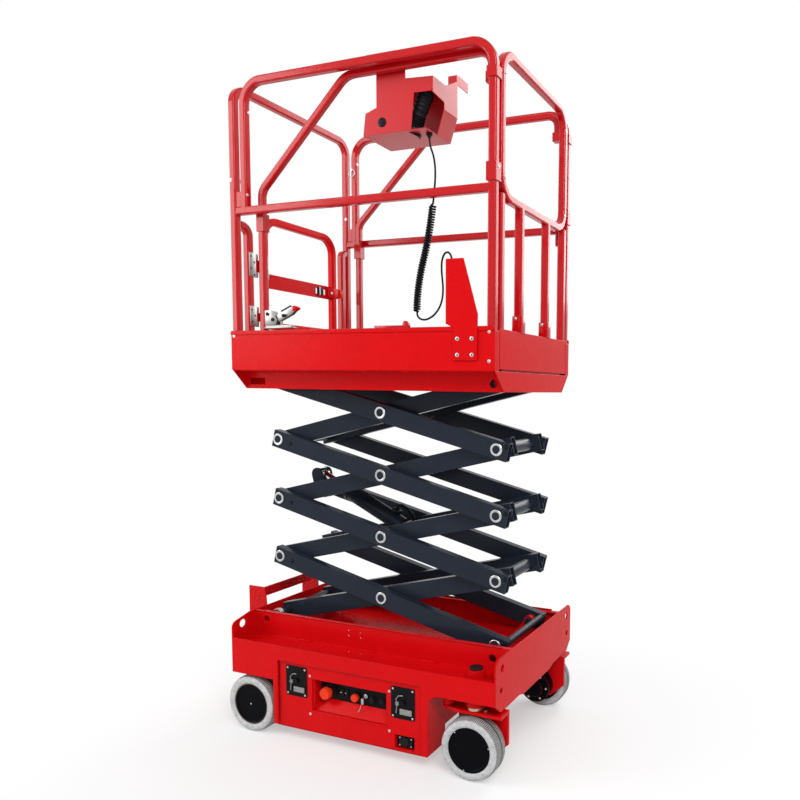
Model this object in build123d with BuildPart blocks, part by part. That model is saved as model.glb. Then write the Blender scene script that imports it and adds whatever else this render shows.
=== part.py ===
"""Mobile scissor lift: a narrow self-propelled chassis, a four-stage scissor and a guarded platform.

Millimetres, +X to the steered end, +Z up. The row's origin is on the floor, midway along the machine.
Every x value below is measured from the middle of the chassis and moved by FRAME_X when it is placed.
"""
from build123d import *
from math import atan2, cos, degrees, hypot, pi, radians, sin, sqrt, tan
import os

os.makedirs("parts", exist_ok=True)

# Running wheels
WHEEL_R = 115.0
WHEEL_W = 80.0
RIM_R = 84.0
RIM_RECESS = 9.0
RIM_FACE_T = 8.0
AXLE_END_Y = 361.0
HUB_R = 34.0
AXLE_R = 16.0
RUN_FIT = 0.05
SEAT_GAP = 0.3
FRONT_AXLE_X = 488.0
REAR_AXLE_X = -502.0
HALF_WIDTH = 380.0
WHEEL_Y = HALF_WIDTH - WHEEL_W / 2
WHEEL_INNER_Y = HALF_WIDTH - WHEEL_W

# Chassis
CHASSIS_FRONT = 595.0
CHASSIS_REAR = -590.0
PLATE_T = 6.0
SIDE_TOP = 380.0
LEDGE_TOP = 362.0
WALL_Y = 250.0
WALL_TOP = 457.0
WALL_FLANGE = 22.0
TRAY_TOP = 372.0
BELLY_Z = 130.0
FRONT_CLEAR_Z = 293.0
REAR_CLEAR_Z = 238.0
ARCH_X = 322.0
ARCH_BEND = 48.0
SKIRT_REAR = 294.0
SKIRT_LOW = 58.0
CABINET_REAR = -382.0
CABINET_FRONT = 322.0
CABINET_LOW = 48.0
CABINET_TOP = 320.0
DOOR_T = 6.0
DOOR_Y = HALF_WIDTH - 10.0
CABINET_Y = DOOR_Y - DOOR_T
FITTING_T = 2.0
DOOR_REAR = -356.0
DOOR_FRONT = 291.0

# Kingpins and steering
KINGPIN_Y = 320.0
KINGPIN_R = 20.0
BOSS_R = 36.0
BOSS_TOP = 386.0
BOSS_LOW = 262.0
CAP_TOP = 397.0
KNUCKLE_TOP = 248.0
KNUCKLE_T = 12.0
STEER_ARM = 110.0
LEG_FRONT = 116.0
MOTOR_R = 66.0
TIE_R = 8.0
TIE_EYE_R = 22.0
TIE_EYE_T = 20.0
TIE_GAP = 5.0
TIE_Z = KNUCKLE_TOP + TIE_GAP + TIE_EYE_T / 2
TIE_PIN_R = 8.0

# Scissor
STAGES = 4
PIN_X = 501.5
PIN_Z = 440.0
STAGE_H = 246.0
SPAN = 2 * PIN_X
ARM_L = hypot(SPAN, STAGE_H)
ARM_ANGLE = degrees(atan2(STAGE_H, SPAN))
ARM_DEPTH = 70.0
ARM_T = 35.0
ARM_WALL = 4.0
ARM_FRONT_OVER = 46.0
ARM_REAR_OVER = 26.0
OUTER_Y = 195.0
ARM_GAP = 10.0
INNER_Y = OUTER_Y - ARM_T - ARM_GAP
PIN_R = 15.0
PIN_BOSS_R = 23.0
RING_R = 23.0
RING_T = 4.0
CROSS_R = 24.0
TORQUE_R = 14.0
TORQUE_ALONG = 36.0
TORQUE_UP = 20.0
ROLLER_R = 25.0
ROLLER_W = 20.0
ROLLER_IN = OUTER_Y + 7.0
TRACK_T = 7.0
LUG_R = 22.0
LUG_T = 22.0
LUG_OUT = INNER_Y
TOP_PIN_Z = PIN_Z + STAGES * STAGE_H

# Lift cylinder, from the second stage's middle axle to a bracket on the third stage's inner arms
EYE_ALONG = 84.0
EYE_UP = 71.0
BARREL_R = 34.0
ROD_R = 19.0
EYE_R = 24.0
EYE_W = 50.0
BRACKET_T = 10.0
BARREL_L = 300.0

# Platform
DECK_X = 573.0
DECK_Y = 360.0
DECK_FRONT = DECK_X - 9.0
SHEET_T = 3.0
SUB_Y = 288.0
SUB_LOW = 1388.0
TOE_LOW = 1460.0
TOE_TOP = 1610.0
HEM_H = 14.0
FLOOR_Z = 1500.0
FLOOR_T = 4.0
LOFT_GAP = 6.0
TUBE = 30.0
TUBE_FILLET = 7.0
RAIL_Y = DECK_Y - TUBE / 2
REAR_POST_X = -DECK_X + SHEET_T + TUBE / 2
SIDE_POST_REAR = -501.5
SIDE_POST_FRONT = DECK_X - SHEET_T - TUBE / 2
RAIL_TOP = 2560.0
MID_RAIL_Z = 2070.0
SIDE_BEND = 82.0
REAR_BEND = 60.0
COLLAR_T = 4.0

# Gate
HOOP_NEAR_Y = -283.0
HOOP_FAR_Y = 304.0
HOOP_TOP = 2025.0
GATE_AXIS_Y = -242.0
GATE_NEAR = -200.0
GATE_FAR = 235.0
GATE_TOP = 2075.0
GATE_LOW = 1632.0

# Extension deck
EXT_Y = 308.0
EXT_TUBE = 26.0
EXT_TUBE_FILLET = 6.0
EXT_REAR = -456.0
EXT_FRONT = DECK_X - TUBE / 2
EXT_POST_X = EXT_FRONT - TUBE / 2 - EXT_TUBE / 2
EXT_RAIL_Z = 2528.0
PANEL_HALF = 322.0
PANEL_LOW = 1467.0
PANEL_TOP = 1605.0
FRONT_POST_Y = 300.0
BALUSTERS = (-133.0, 121.0)
FRONT_MID_Z = 2057.0
LOOP_BEND = 80.0
LOOP_JOIN_Z = 2300.0
STUB_LOW = 2421.0
CLAMP_TOP = 2456.0

# Rear step
STEP_REAR = -682.0
STEP_NEAR = -185.0
STEP_FAR = 155.0
STEP_TOP = 537.0

# Overall frame
FRAME_X = -(STEP_REAR + FRONT_AXLE_X + WHEEL_R) / 2
NEAR = -1
FAR = 1
SIDES = ((NEAR, "near"), (FAR, "far"))


def side_plane(y):
    """Plane seen from the near side: local x is +X, local y is +Z, and it faces -Y."""
    return Plane(origin=(FRAME_X, y, 0), x_dir=(1, 0, 0), z_dir=(0, -1, 0))


def top_plane(z):
    """Plane seen from above at height z: local x is +X and local y is +Y."""
    return Plane(origin=(FRAME_X, 0, z))


def end_plane(x):
    """Plane seen from the steered end: local x is +Y, local y is +Z, and it faces +X."""
    return Plane(origin=(FRAME_X + x, 0, 0), x_dir=(0, 1, 0), z_dir=(1, 0, 0))


def along_y(points, y_from, y_to, mode=Mode.ADD, corner=0):
    """Extrude the closed outline points, given as (x, z), from y_from to y_to."""
    low, high = sorted((y_from, y_to))
    with BuildSketch(side_plane(high)) as outline:
        with BuildLine():
            Polyline(*points, close=True)
        make_face()
        if corner:
            fillet(outline.vertices(), corner)
    extrude(outline.sketch, amount=high - low, mode=mode)


def along_z(points, z_from, z_to, mode=Mode.ADD, corner=0):
    """Extrude the closed outline points, given as (x, y), from z_from up to z_to."""
    with BuildSketch(top_plane(z_from)) as outline:
        with BuildLine():
            Polyline(*points, close=True)
        make_face()
        if corner:
            fillet(outline.vertices(), corner)
    extrude(outline.sketch, amount=z_to - z_from, mode=mode)


def along_x(points, x_from, x_to, mode=Mode.ADD, corner=0):
    """Extrude the closed outline points, given as (y, z), from x_from to x_to."""
    with BuildSketch(end_plane(x_from)) as outline:
        with BuildLine():
            Polyline(*points, close=True)
        make_face()
        if corner:
            fillet(outline.vertices(), corner)
    extrude(outline.sketch, amount=x_to - x_from, mode=mode)


def box_outline(u_low, u_high, v_low, v_high):
    """Corners of a rectangle in a plane's own two directions."""
    return [(u_low, v_low), (u_high, v_low), (u_high, v_high), (u_low, v_high)]


def block(x_low, x_high, y_from, y_to, z_low, z_high, mode=Mode.ADD):
    """A plain block between six limits."""
    y_low, y_high = sorted((y_from, y_to))
    along_z(box_outline(x_low, x_high, y_low, y_high), z_low, z_high, mode)


def bar_y(x, z, radius, y_from, y_to, mode=Mode.ADD):
    """A round bar along Y through (x, z)."""
    low, high = sorted((y_from, y_to))
    with BuildSketch(side_plane(high)) as outline:
        with Locations((x, z)):
            Circle(radius)
    extrude(outline.sketch, amount=high - low, mode=mode)


def bar_z(x, y, radius, z_low, z_high, mode=Mode.ADD):
    """A round bar along Z through (x, y)."""
    with BuildSketch(top_plane(z_low)) as outline:
        with Locations((x, y)):
            Circle(radius)
    extrude(outline.sketch, amount=z_high - z_low, mode=mode)


def bar_x(y, z, radius, x_low, x_high, mode=Mode.ADD):
    """A round bar along X through (y, z)."""
    with BuildSketch(end_plane(x_low)) as outline:
        with Locations((y, z)):
            Circle(radius)
    extrude(outline.sketch, amount=x_high - x_low, mode=mode)


def square_tube(points, bends, normal, width=TUBE, corner=TUBE_FILLET):
    """A bent square tube along points (x, y, z); normal is square to the plane of its bends."""
    placed = [(FRAME_X + x, y, z) for x, y, z in points]
    with BuildLine() as route:
        if len(placed) == 2:
            Line(*placed)
        else:
            FilletPolyline(*placed, radius=bends)
    with BuildSketch(Plane(origin=route.line @ 0, x_dir=normal, z_dir=route.line % 0)) as section:
        RectangleRounded(width, width, corner)
    sweep(section.sketch, path=route.line)


def collar(x, y, z_low, z_high, width=TUBE, wall=COLLAR_T):
    """A square sleeve around an upright tube."""
    half = width / 2 + wall
    block(x - half, x + half, y - half, y + half, z_low, z_high)


def finish(builder, name):
    """Label a finished sub-part and write it as its own STEP file."""
    builder.part.label = name
    export_step(builder.part, "parts/" + name + ".step")


# Chassis frame: side plates, ledges, main walls with their top flanges, tray, belly and lugs
MAIN_FRONT = CHASSIS_FRONT - PLATE_T
MAIN_REAR = CHASSIS_REAR + PLATE_T
TRACK_TOP = PIN_Z - ROLLER_R - SEAT_GAP
TRACK_FRONT = 40.0
BEAM_HALF = 140.0

with BuildPart() as chassis_frame:
    for side, _ in SIDES:
        rim = side * HALF_WIDTH
        side_outline = [
            (MAIN_REAR, REAR_CLEAR_Z), (CABINET_REAR, REAR_CLEAR_Z), (CABINET_REAR, CABINET_TOP),
            (SKIRT_REAR, CABINET_TOP), (SKIRT_REAR, SKIRT_LOW), (ARCH_X, SKIRT_LOW), (ARCH_X, FRONT_CLEAR_Z),
            (MAIN_FRONT, FRONT_CLEAR_Z), (MAIN_FRONT, SIDE_TOP), (MAIN_REAR, SIDE_TOP)]
        along_y(side_outline, rim, rim - side * PLATE_T)
        arch_corner = chassis_frame.edges().filter_by(Axis.Y).filter_by(
            lambda edge, y=side * HALF_WIDTH: abs(edge.center().X - FRAME_X - ARCH_X) < 1
            and abs(edge.center().Z - FRONT_CLEAR_Z) < 1 and abs(edge.center().Y - y) < PLATE_T)
        fillet(arch_corner, ARCH_BEND)
        block(MAIN_REAR, MAIN_FRONT, rim - side * PLATE_T, side * WALL_Y, LEDGE_TOP - PLATE_T, LEDGE_TOP)
        wall_outline = [
            (MAIN_REAR, BELLY_Z), (ARCH_X, BELLY_Z), (ARCH_X, FRONT_CLEAR_Z), (MAIN_FRONT, FRONT_CLEAR_Z),
            (MAIN_FRONT, WALL_TOP), (MAIN_REAR, WALL_TOP)]
        along_y(wall_outline, side * WALL_Y, side * (WALL_Y - PLATE_T))
        block(MAIN_REAR, MAIN_FRONT, side * WALL_Y, side * (WALL_Y - WALL_FLANGE),
              WALL_TOP - PLATE_T, WALL_TOP)
        block(MAIN_REAR, TRACK_FRONT, side * (WALL_Y - PLATE_T), side * (ROLLER_IN - 2),
              TRACK_TOP - TRACK_T, TRACK_TOP)
        bar_z(FRONT_AXLE_X, side * KINGPIN_Y, BOSS_R, BOSS_LOW, BOSS_TOP)
        bar_z(FRONT_AXLE_X, side * KINGPIN_Y, KINGPIN_R + RUN_FIT, BOSS_LOW, BOSS_TOP, Mode.SUBTRACT)
        bar_y(REAR_AXLE_X, WHEEL_R, HUB_R, side * (WALL_Y - PLATE_T), side * (WHEEL_INNER_Y - 6))
        bar_y(REAR_AXLE_X, WHEEL_R, AXLE_R, side * WALL_Y, side * AXLE_END_Y)
        axle_plate = [(REAR_AXLE_X - 70, BELLY_Z + 4), (REAR_AXLE_X - 36, WHEEL_R - 34),
                      (REAR_AXLE_X + 36, WHEEL_R - 34), (REAR_AXLE_X + 70, BELLY_Z + 4)]
        along_y(axle_plate, side * WALL_Y, side * (WALL_Y - PLATE_T))
        for hole_x, hole_z in ((-529.0, 426.0), (518.0, 414.0)):
            bar_y(hole_x, hole_z, 15, side * (WALL_Y - PLATE_T), side * WALL_Y, Mode.SUBTRACT)
        lug_in = side * (LUG_OUT - LUG_T)
        lug_outline = [(PIN_X - 80, TRAY_TOP - PLATE_T), (PIN_X + 14, TRAY_TOP - PLATE_T),
                       (PIN_X + 14, PIN_Z), (PIN_X - LUG_R, PIN_Z)]
        along_y(lug_outline, lug_in, side * LUG_OUT)
        bar_y(PIN_X, PIN_Z, LUG_R, lug_in, side * LUG_OUT)
        bar_y(PIN_X, PIN_Z, PIN_R + RUN_FIT, lug_in, side * LUG_OUT, Mode.SUBTRACT)
    block(MAIN_REAR, MAIN_FRONT, -WALL_Y + PLATE_T, WALL_Y - PLATE_T, TRAY_TOP - PLATE_T, TRAY_TOP)
    block(MAIN_REAR, ARCH_X, -WALL_Y + PLATE_T, WALL_Y - PLATE_T, BELLY_Z, BELLY_Z + PLATE_T)
    block(ARCH_X - PLATE_T, ARCH_X, -WALL_Y + PLATE_T, WALL_Y - PLATE_T, BELLY_Z, TRAY_TOP)
    block(MAIN_FRONT - 60, MAIN_FRONT, -BEAM_HALF, BEAM_HALF, 248, TRAY_TOP - PLATE_T)
finish(chassis_frame, "chassis_frame")

# End plates, with their tie-down holes
with BuildPart() as front_plate:
    front_outline = [
        (-HALF_WIDTH, FRONT_CLEAR_Z), (-336, 258), (-BEAM_HALF - 30, 258), (-BEAM_HALF, 248),
        (BEAM_HALF, 248), (BEAM_HALF + 30, 258), (336, 258), (HALF_WIDTH, FRONT_CLEAR_Z),
        (HALF_WIDTH, WALL_TOP), (-HALF_WIDTH, WALL_TOP)]
    along_x(front_outline, MAIN_FRONT, CHASSIS_FRONT)
    fillet(front_plate.edges().filter_by(Axis.X).group_by(Axis.Z)[-1], 30)
    for side, _ in SIDES:
        bar_x(side * 327, 416, 14, MAIN_FRONT, CHASSIS_FRONT, Mode.SUBTRACT)
        bar_x(side * 335, 338, 11, MAIN_FRONT, CHASSIS_FRONT, Mode.SUBTRACT)
finish(front_plate, "front_plate")

with BuildPart() as rear_plate:
    rear_outline = [
        (-HALF_WIDTH, REAR_CLEAR_Z), (HALF_WIDTH, REAR_CLEAR_Z), (HALF_WIDTH, 439), (283, 462),
        (-283, 462), (-HALF_WIDTH, 439)]
    along_x(rear_outline, CHASSIS_REAR, MAIN_REAR)
    block(CHASSIS_REAR, MAIN_REAR, -WALL_Y, WALL_Y, BELLY_Z, REAR_CLEAR_Z)
    fillet(rear_plate.edges().filter_by(Axis.X).filter_by_position(Axis.Z, 438, 440), 24)
    for side, _ in SIDES:
        bar_x(side * 325, 424, 17, CHASSIS_REAR, MAIN_REAR, Mode.SUBTRACT)
finish(rear_plate, "rear_plate")

# Side cabinets between the axles; the near one has the recess of the ground control station
RECESS = (-200.0, 144.0, 138.0, 265.0)
RECESS_DEEP = 46.0
SOCKET = (177.0, 262.0, 63.0, 115.0)
with BuildPart() as cabinets:
    for side, _ in SIDES:
        block(CABINET_REAR, CABINET_FRONT, side * CABINET_Y, side * WALL_Y, CABINET_LOW, CABINET_TOP)
    chamfer(cabinets.edges().filter_by(Axis.Y).group_by(Axis.Z)[0], 10)
    for side, _ in SIDES:
        block(SKIRT_REAR + 3, CABINET_FRONT, side * CABINET_Y, side * (HALF_WIDTH - PLATE_T), SKIRT_LOW,
              CABINET_TOP)
    block(RECESS[0], RECESS[1], -CABINET_Y, -CABINET_Y + RECESS_DEEP, RECESS[2], RECESS[3], Mode.SUBTRACT)
    block(SOCKET[0], SOCKET[1], -CABINET_Y, -CABINET_Y + 20, SOCKET[2], SOCKET[3], Mode.SUBTRACT)
finish(cabinets, "cabinets")

with BuildPart() as service_panels:
    for side, _ in SIDES:
        panel = box_outline(DOOR_REAR, DOOR_FRONT, CABINET_LOW + 8, CABINET_TOP - 2)
        along_y(panel, side * CABINET_Y, side * DOOR_Y, corner=8)
    for window in (RECESS, SOCKET):
        block(window[0], window[1], -DOOR_Y, -CABINET_Y, window[2], window[3], Mode.SUBTRACT)
finish(service_panels, "service_panels")

# Ground control station: a sloped shelf below an upright black panel, with its stop button and switches
PANEL_Y = -CABINET_Y + RECESS_DEEP
with BuildPart() as control_panel:
    along_x([(PANEL_Y - 40, RECESS[2]), (PANEL_Y, RECESS[2]), (PANEL_Y, 176), (PANEL_Y - 4, 176)],
            RECESS[0], RECESS[1])
    block(RECESS[0], RECESS[1], PANEL_Y - 4, PANEL_Y, 176, RECESS[3])
finish(control_panel, "control_panel")

with BuildPart() as ground_controls:
    face = PANEL_Y - 4
    with BuildSketch(Plane(origin=(FRAME_X - 151, face, 208), x_dir=(1, 0, 0), z_dir=(0, -1, 0))):
        Circle(14)
    extrude(amount=26)
    with BuildSketch(Plane(origin=(FRAME_X - 151, face - 22, 208), x_dir=(1, 0, 0), z_dir=(0, -1, 0))):
        Circle(25)
    extrude(amount=16, taper=12)
    for knob_x, knob_z, knob_r, knob_l in ((-27, 204, 11, 18), (48, 204, 12, 10), (92, 206, 9, 8)):
        bar_y(knob_x, knob_z, knob_r, face, face - knob_l)
finish(ground_controls, "ground_controls")

# Two black plates with small levers, and the charger socket below the front one
LEVER_PLATES = ((-324.0, -223.0, 185.0, 305.0), (162.0, 264.0, 179.0, 300.0))
with BuildPart() as side_fittings:
    for x_low, x_high, z_low, z_high in LEVER_PLATES:
        middle = (x_low + x_high) / 2
        along_y(box_outline(x_low, x_high, z_low, z_high), -DOOR_Y, -DOOR_Y - FITTING_T, corner=6)
        bar_y(middle, z_low + 62, 11, -DOOR_Y - FITTING_T, -HALF_WIDTH)
    block(SOCKET[0], SOCKET[1], -CABINET_Y + 12, -CABINET_Y + 20, SOCKET[2], SOCKET[3])
finish(side_fittings, "side_fittings")

# Rear step: two side plates behind the rear end plate, joined by treads and a head bar
with BuildPart() as rear_step:
    for y, wall in ((STEP_NEAR, 5), (STEP_FAR, -5)):
        along_y([(STEP_REAR, 210), (STEP_REAR + 22, 190), (CHASSIS_REAR, 190), (CHASSIS_REAR, 478),
                 (CHASSIS_REAR - 8, STEP_TOP), (STEP_REAR, STEP_TOP)], y, y + wall)
    for tread_z in (214.0, 372.0):
        block(STEP_REAR + 4, CHASSIS_REAR - 4, STEP_NEAR, STEP_FAR, tread_z, tread_z + 5)
        block(STEP_REAR + 4, STEP_REAR + 9, STEP_NEAR, STEP_FAR, tread_z - 18, tread_z)
    block(CHASSIS_REAR - 14, CHASSIS_REAR - 8, STEP_NEAR, STEP_FAR, 498, STEP_TOP)
finish(rear_step, "rear_step")

# Battery pack on the belly plate, one plain mass
with BuildPart() as battery_block:
    block(-330, 210, -180, 180, BELLY_Z + PLATE_T, BELLY_Z + PLATE_T + 190)
finish(battery_block, "battery_block")

# Wheels: a grey solid tyre on a closed hub disc
for axle, axle_x in (("front", FRONT_AXLE_X), ("rear", REAR_AXLE_X)):
    for side, side_name in SIDES:
        with BuildPart() as tyre:
            with BuildSketch(Plane(origin=(FRAME_X + axle_x, 0, WHEEL_R), x_dir=(1, 0, 0), z_dir=(0, 0, 1))):
                with BuildLine():
                    outer = side * HALF_WIDTH
                    inner = side * WHEEL_INNER_Y
                    Polyline(
                        (RIM_R, outer - side * 4), (RIM_R + 8, outer), (WHEEL_R - 14, outer),
                        (WHEEL_R - 4, outer - side * 6), (WHEEL_R, outer - side * 18),
                        (WHEEL_R, inner + side * 18), (WHEEL_R - 4, inner + side * 6),
                        (WHEEL_R - 14, inner), (RIM_R + 8, inner), (RIM_R, inner + side * 4), close=True)
                make_face()
            revolve(axis=Axis((FRAME_X + axle_x, 0, WHEEL_R), (0, 1, 0)))
        finish(tyre, "tyre_" + axle + "_" + side_name)
        with BuildPart() as rim:
            with BuildSketch(Plane(origin=(FRAME_X + axle_x, 0, WHEEL_R), x_dir=(1, 0, 0), z_dir=(0, 0, 1))):
                with BuildLine():
                    face_y = side * (HALF_WIDTH - RIM_RECESS)
                    back_y = side * (WHEEL_INNER_Y + 4)
                    bore = AXLE_R + RUN_FIT
                    Polyline(
                        (0, face_y), (0, face_y - side * RIM_FACE_T), (bore, face_y - side * RIM_FACE_T),
                        (bore, back_y), (HUB_R, back_y),
                        (HUB_R, face_y - side * 12), (RIM_R - 8, face_y - side * 12),
                        (RIM_R - 8, back_y), (RIM_R - 0.1, back_y),
                        (RIM_R - 0.1, face_y + side * 3), (RIM_R - 8, face_y + side * 3),
                        (RIM_R - 12, face_y), close=True)
                make_face()
            revolve(axis=Axis((FRAME_X + axle_x, 0, WHEEL_R), (0, 1, 0)))
        finish(rim, "rim_" + axle + "_" + side_name)

# Steering knuckles: kingpin, top plate, inboard leg with the axle and the drive motor
LEG_OUT = WHEEL_INNER_Y - 6
for side, side_name in SIDES:
    with BuildPart() as knuckle:
        pin_y = side * KINGPIN_Y
        bar_z(FRONT_AXLE_X, pin_y, KINGPIN_R, KNUCKLE_TOP - KNUCKLE_T, BOSS_TOP)
        bar_z(FRONT_AXLE_X, pin_y, BOSS_R - 6, KNUCKLE_TOP, BOSS_LOW - SEAT_GAP)
        bar_z(FRONT_AXLE_X, pin_y, BOSS_R - 3, BOSS_TOP + SEAT_GAP, CAP_TOP)
        bar_z(FRONT_AXLE_X, pin_y, KINGPIN_R, BOSS_TOP, BOSS_TOP + SEAT_GAP)
        arm_x = FRONT_AXLE_X - STEER_ARM
        top = [(FRONT_AXLE_X - 60, side * 352), (FRONT_AXLE_X + LEG_FRONT, side * 352),
               (FRONT_AXLE_X + LEG_FRONT, side * (LEG_OUT - 12)), (FRONT_AXLE_X - 84, side * (LEG_OUT - 12)),
               (arm_x - 18, side * (KINGPIN_Y - 18)), (arm_x - 18, side * (KINGPIN_Y + 14))]
        along_z(top, KNUCKLE_TOP - KNUCKLE_T, KNUCKLE_TOP)
        leg = [(FRONT_AXLE_X - 84, KNUCKLE_TOP - KNUCKLE_T), (FRONT_AXLE_X - 84, 150),
               (FRONT_AXLE_X - 44, 66), (FRONT_AXLE_X + 52, 66), (FRONT_AXLE_X + LEG_FRONT, 120),
               (FRONT_AXLE_X + LEG_FRONT, KNUCKLE_TOP - KNUCKLE_T)]
        along_y(leg, side * LEG_OUT, side * (LEG_OUT - 12))
        bar_y(FRONT_AXLE_X, WHEEL_R, AXLE_R, side * (LEG_OUT - 12), side * AXLE_END_Y)
        bar_y(FRONT_AXLE_X, WHEEL_R, HUB_R + 4, side * LEG_OUT, side * (WHEEL_INNER_Y + 3))
        bar_y(FRONT_AXLE_X, WHEEL_R, MOTOR_R, side * (LEG_OUT - 12), side * (LEG_OUT - 60))
        bar_y(FRONT_AXLE_X, WHEEL_R, 40, side * (LEG_OUT - 60), side * (LEG_OUT - 74))
        bar_z(arm_x, pin_y, TIE_PIN_R, KNUCKLE_TOP, TIE_Z + TIE_EYE_T / 2 + 6)
        bar_z(arm_x, pin_y, TIE_PIN_R + 6, KNUCKLE_TOP, KNUCKLE_TOP + TIE_GAP - SEAT_GAP)
    finish(knuckle, "knuckle_" + side_name)

with BuildPart() as tie_rod:
    arm_x = FRONT_AXLE_X - STEER_ARM
    for side, _ in SIDES:
        bar_z(arm_x, side * KINGPIN_Y, TIE_EYE_R, TIE_Z - TIE_EYE_T / 2, TIE_Z + TIE_EYE_T / 2)
    bar_start = KINGPIN_Y - TIE_EYE_R + 3
    with BuildSketch(side_plane(bar_start)) as tie_section:
        with Locations((arm_x, TIE_Z)):
            Circle(TIE_R)
    extrude(tie_section.sketch, amount=2 * bar_start)
    for side, _ in SIDES:
        bar_z(arm_x, side * KINGPIN_Y, TIE_PIN_R + RUN_FIT, TIE_Z - TIE_EYE_T, TIE_Z + TIE_EYE_T,
              Mode.SUBTRACT)
finish(tie_rod, "tie_rod")


def arm_frame(x, z, angle, y):
    """Plane on an arm pair at the pin (x, z): local x runs along the arm, local y across it."""
    slope = radians(angle)
    return Plane(origin=(FRAME_X + x, y, z), x_dir=(cos(slope), 0, sin(slope)), z_dir=(0, -1, 0))


def arm_tube(x, z, angle, y_near, y_far, over_first, over_last):
    """One open-ended rectangular arm from its pin at (x, z), running past both end pins."""
    middle = (ARM_L + over_last - over_first) / 2
    length = ARM_L + over_first + over_last
    with BuildSketch(arm_frame(x, z, angle, y_far)) as outer:
        with Locations((middle, 0)):
            Rectangle(length, ARM_DEPTH)
    extrude(outer.sketch, amount=y_far - y_near)
    with BuildSketch(arm_frame(x, z, angle, y_far - ARM_WALL)) as hollow:
        with Locations((middle, 0)):
            Rectangle(length, ARM_DEPTH - 2 * ARM_WALL)
    extrude(hollow.sketch, amount=y_far - y_near - 2 * ARM_WALL, mode=Mode.SUBTRACT)


def arm_pins(stage):
    """Rear pin, middle pin and front pin of a stage's outer arm pair, as (x, z)."""
    low = PIN_Z + (stage - 1) * STAGE_H
    return (PIN_X, low), (0.0, low + STAGE_H / 2), (-PIN_X, low + STAGE_H)


# Outer arm pairs lean back from the front pins and carry every scissor pin
for stage in range(1, STAGES + 1):
    front_pin, middle_pin, rear_pin = arm_pins(stage)
    with BuildPart() as outer_arms:
        for side, _ in SIDES:
            y_near, y_far = sorted((side * OUTER_Y, side * (OUTER_Y - ARM_T)))
            arm_tube(front_pin[0], front_pin[1], 180 - ARM_ANGLE, y_near, y_far,
                     ARM_FRONT_OVER, ARM_REAR_OVER)
            for pin_x, pin_z in (front_pin, middle_pin, rear_pin):
                bar_y(pin_x, pin_z, PIN_BOSS_R, side * (OUTER_Y - ARM_T - ARM_GAP + SEAT_GAP),
                      side * OUTER_Y)
                bar_y(pin_x, pin_z, RING_R, side * OUTER_Y, side * (OUTER_Y + RING_T - 1))
                bar_y(pin_x, pin_z, PIN_R, side * OUTER_Y, side * (INNER_Y - ARM_T + 1))
        if stage == 1:
            slope = radians(ARM_ANGLE)
            torque_x = front_pin[0] + TORQUE_ALONG * cos(slope) + TORQUE_UP * sin(slope)
            torque_z = front_pin[1] - TORQUE_ALONG * sin(slope) + TORQUE_UP * cos(slope)
            bar_y(torque_x, torque_z, TORQUE_R, -OUTER_Y + ARM_T, OUTER_Y - ARM_T)
            bar_y(torque_x, torque_z, TORQUE_R, -OUTER_Y, -OUTER_Y + ARM_T)
            bar_y(torque_x, torque_z, TORQUE_R, OUTER_Y - ARM_T, OUTER_Y)
        if stage == 2:
            bar_y(middle_pin[0], middle_pin[1], PIN_R, -OUTER_Y, OUTER_Y)
        if stage == STAGES:
            for side, _ in SIDES:
                bar_y(rear_pin[0], rear_pin[1], PIN_R, side * OUTER_Y, side * (ROLLER_IN + ROLLER_W))
    finish(outer_arms, "outer_arms_" + str(stage))

# Inner arm pairs lean forward from the rear pins and are joined by a cross tube at each end
for stage in range(1, STAGES + 1):
    low = PIN_Z + (stage - 1) * STAGE_H
    rear_pin = (-PIN_X, low)
    middle_pin = (0.0, low + STAGE_H / 2)
    front_pin = (PIN_X, low + STAGE_H)
    with BuildPart() as inner_arms:
        for side, _ in SIDES:
            y_near, y_far = sorted((side * INNER_Y, side * (INNER_Y - ARM_T)))
            arm_tube(rear_pin[0], rear_pin[1], ARM_ANGLE, y_near, y_far, ARM_REAR_OVER, ARM_FRONT_OVER)
            for pin_x, pin_z in (rear_pin, middle_pin, front_pin):
                bar_y(pin_x, pin_z, PIN_BOSS_R, side * (INNER_Y - ARM_T), side * INNER_Y)
        for pin_x, pin_z in (rear_pin, front_pin):
            bar_y(pin_x, pin_z, CROSS_R, -INNER_Y + ARM_T, INNER_Y - ARM_T)
        for side, _ in SIDES:
            for pin_x, pin_z in (rear_pin, middle_pin, front_pin):
                bar_y(pin_x, pin_z, PIN_R + RUN_FIT, side * INNER_Y, side * (INNER_Y - ARM_T),
                      Mode.SUBTRACT)
            if stage == 1:
                bar_y(rear_pin[0], rear_pin[1], PIN_R, side * (INNER_Y - ARM_T), side * (ROLLER_IN + ROLLER_W))
        if stage == 3:
            slope = radians(ARM_ANGLE)
            beam_x = rear_pin[0] + EYE_ALONG * cos(slope)
            beam_z = rear_pin[1] + EYE_ALONG * sin(slope)
            eye_x = beam_x - EYE_UP * sin(slope)
            eye_z = beam_z + EYE_UP * cos(slope)
            for side, _ in SIDES:
                inside = side * (EYE_W / 2 + 1)
                outside = side * (EYE_W / 2 + 1 + BRACKET_T)
                bar_y(beam_x, beam_z, 20, outside, side * (INNER_Y - ARM_T))
                across = 26.0
                foot = [(beam_x - across * cos(slope), beam_z - across * sin(slope)),
                        (beam_x + across * cos(slope), beam_z + across * sin(slope)),
                        (eye_x + across * cos(slope), eye_z + across * sin(slope)),
                        (eye_x - across * cos(slope), eye_z - across * sin(slope))]
                along_y(foot, inside, outside)
                bar_y(eye_x, eye_z, across, inside, outside)
    finish(inner_arms, "inner_arms_" + str(stage))

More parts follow.
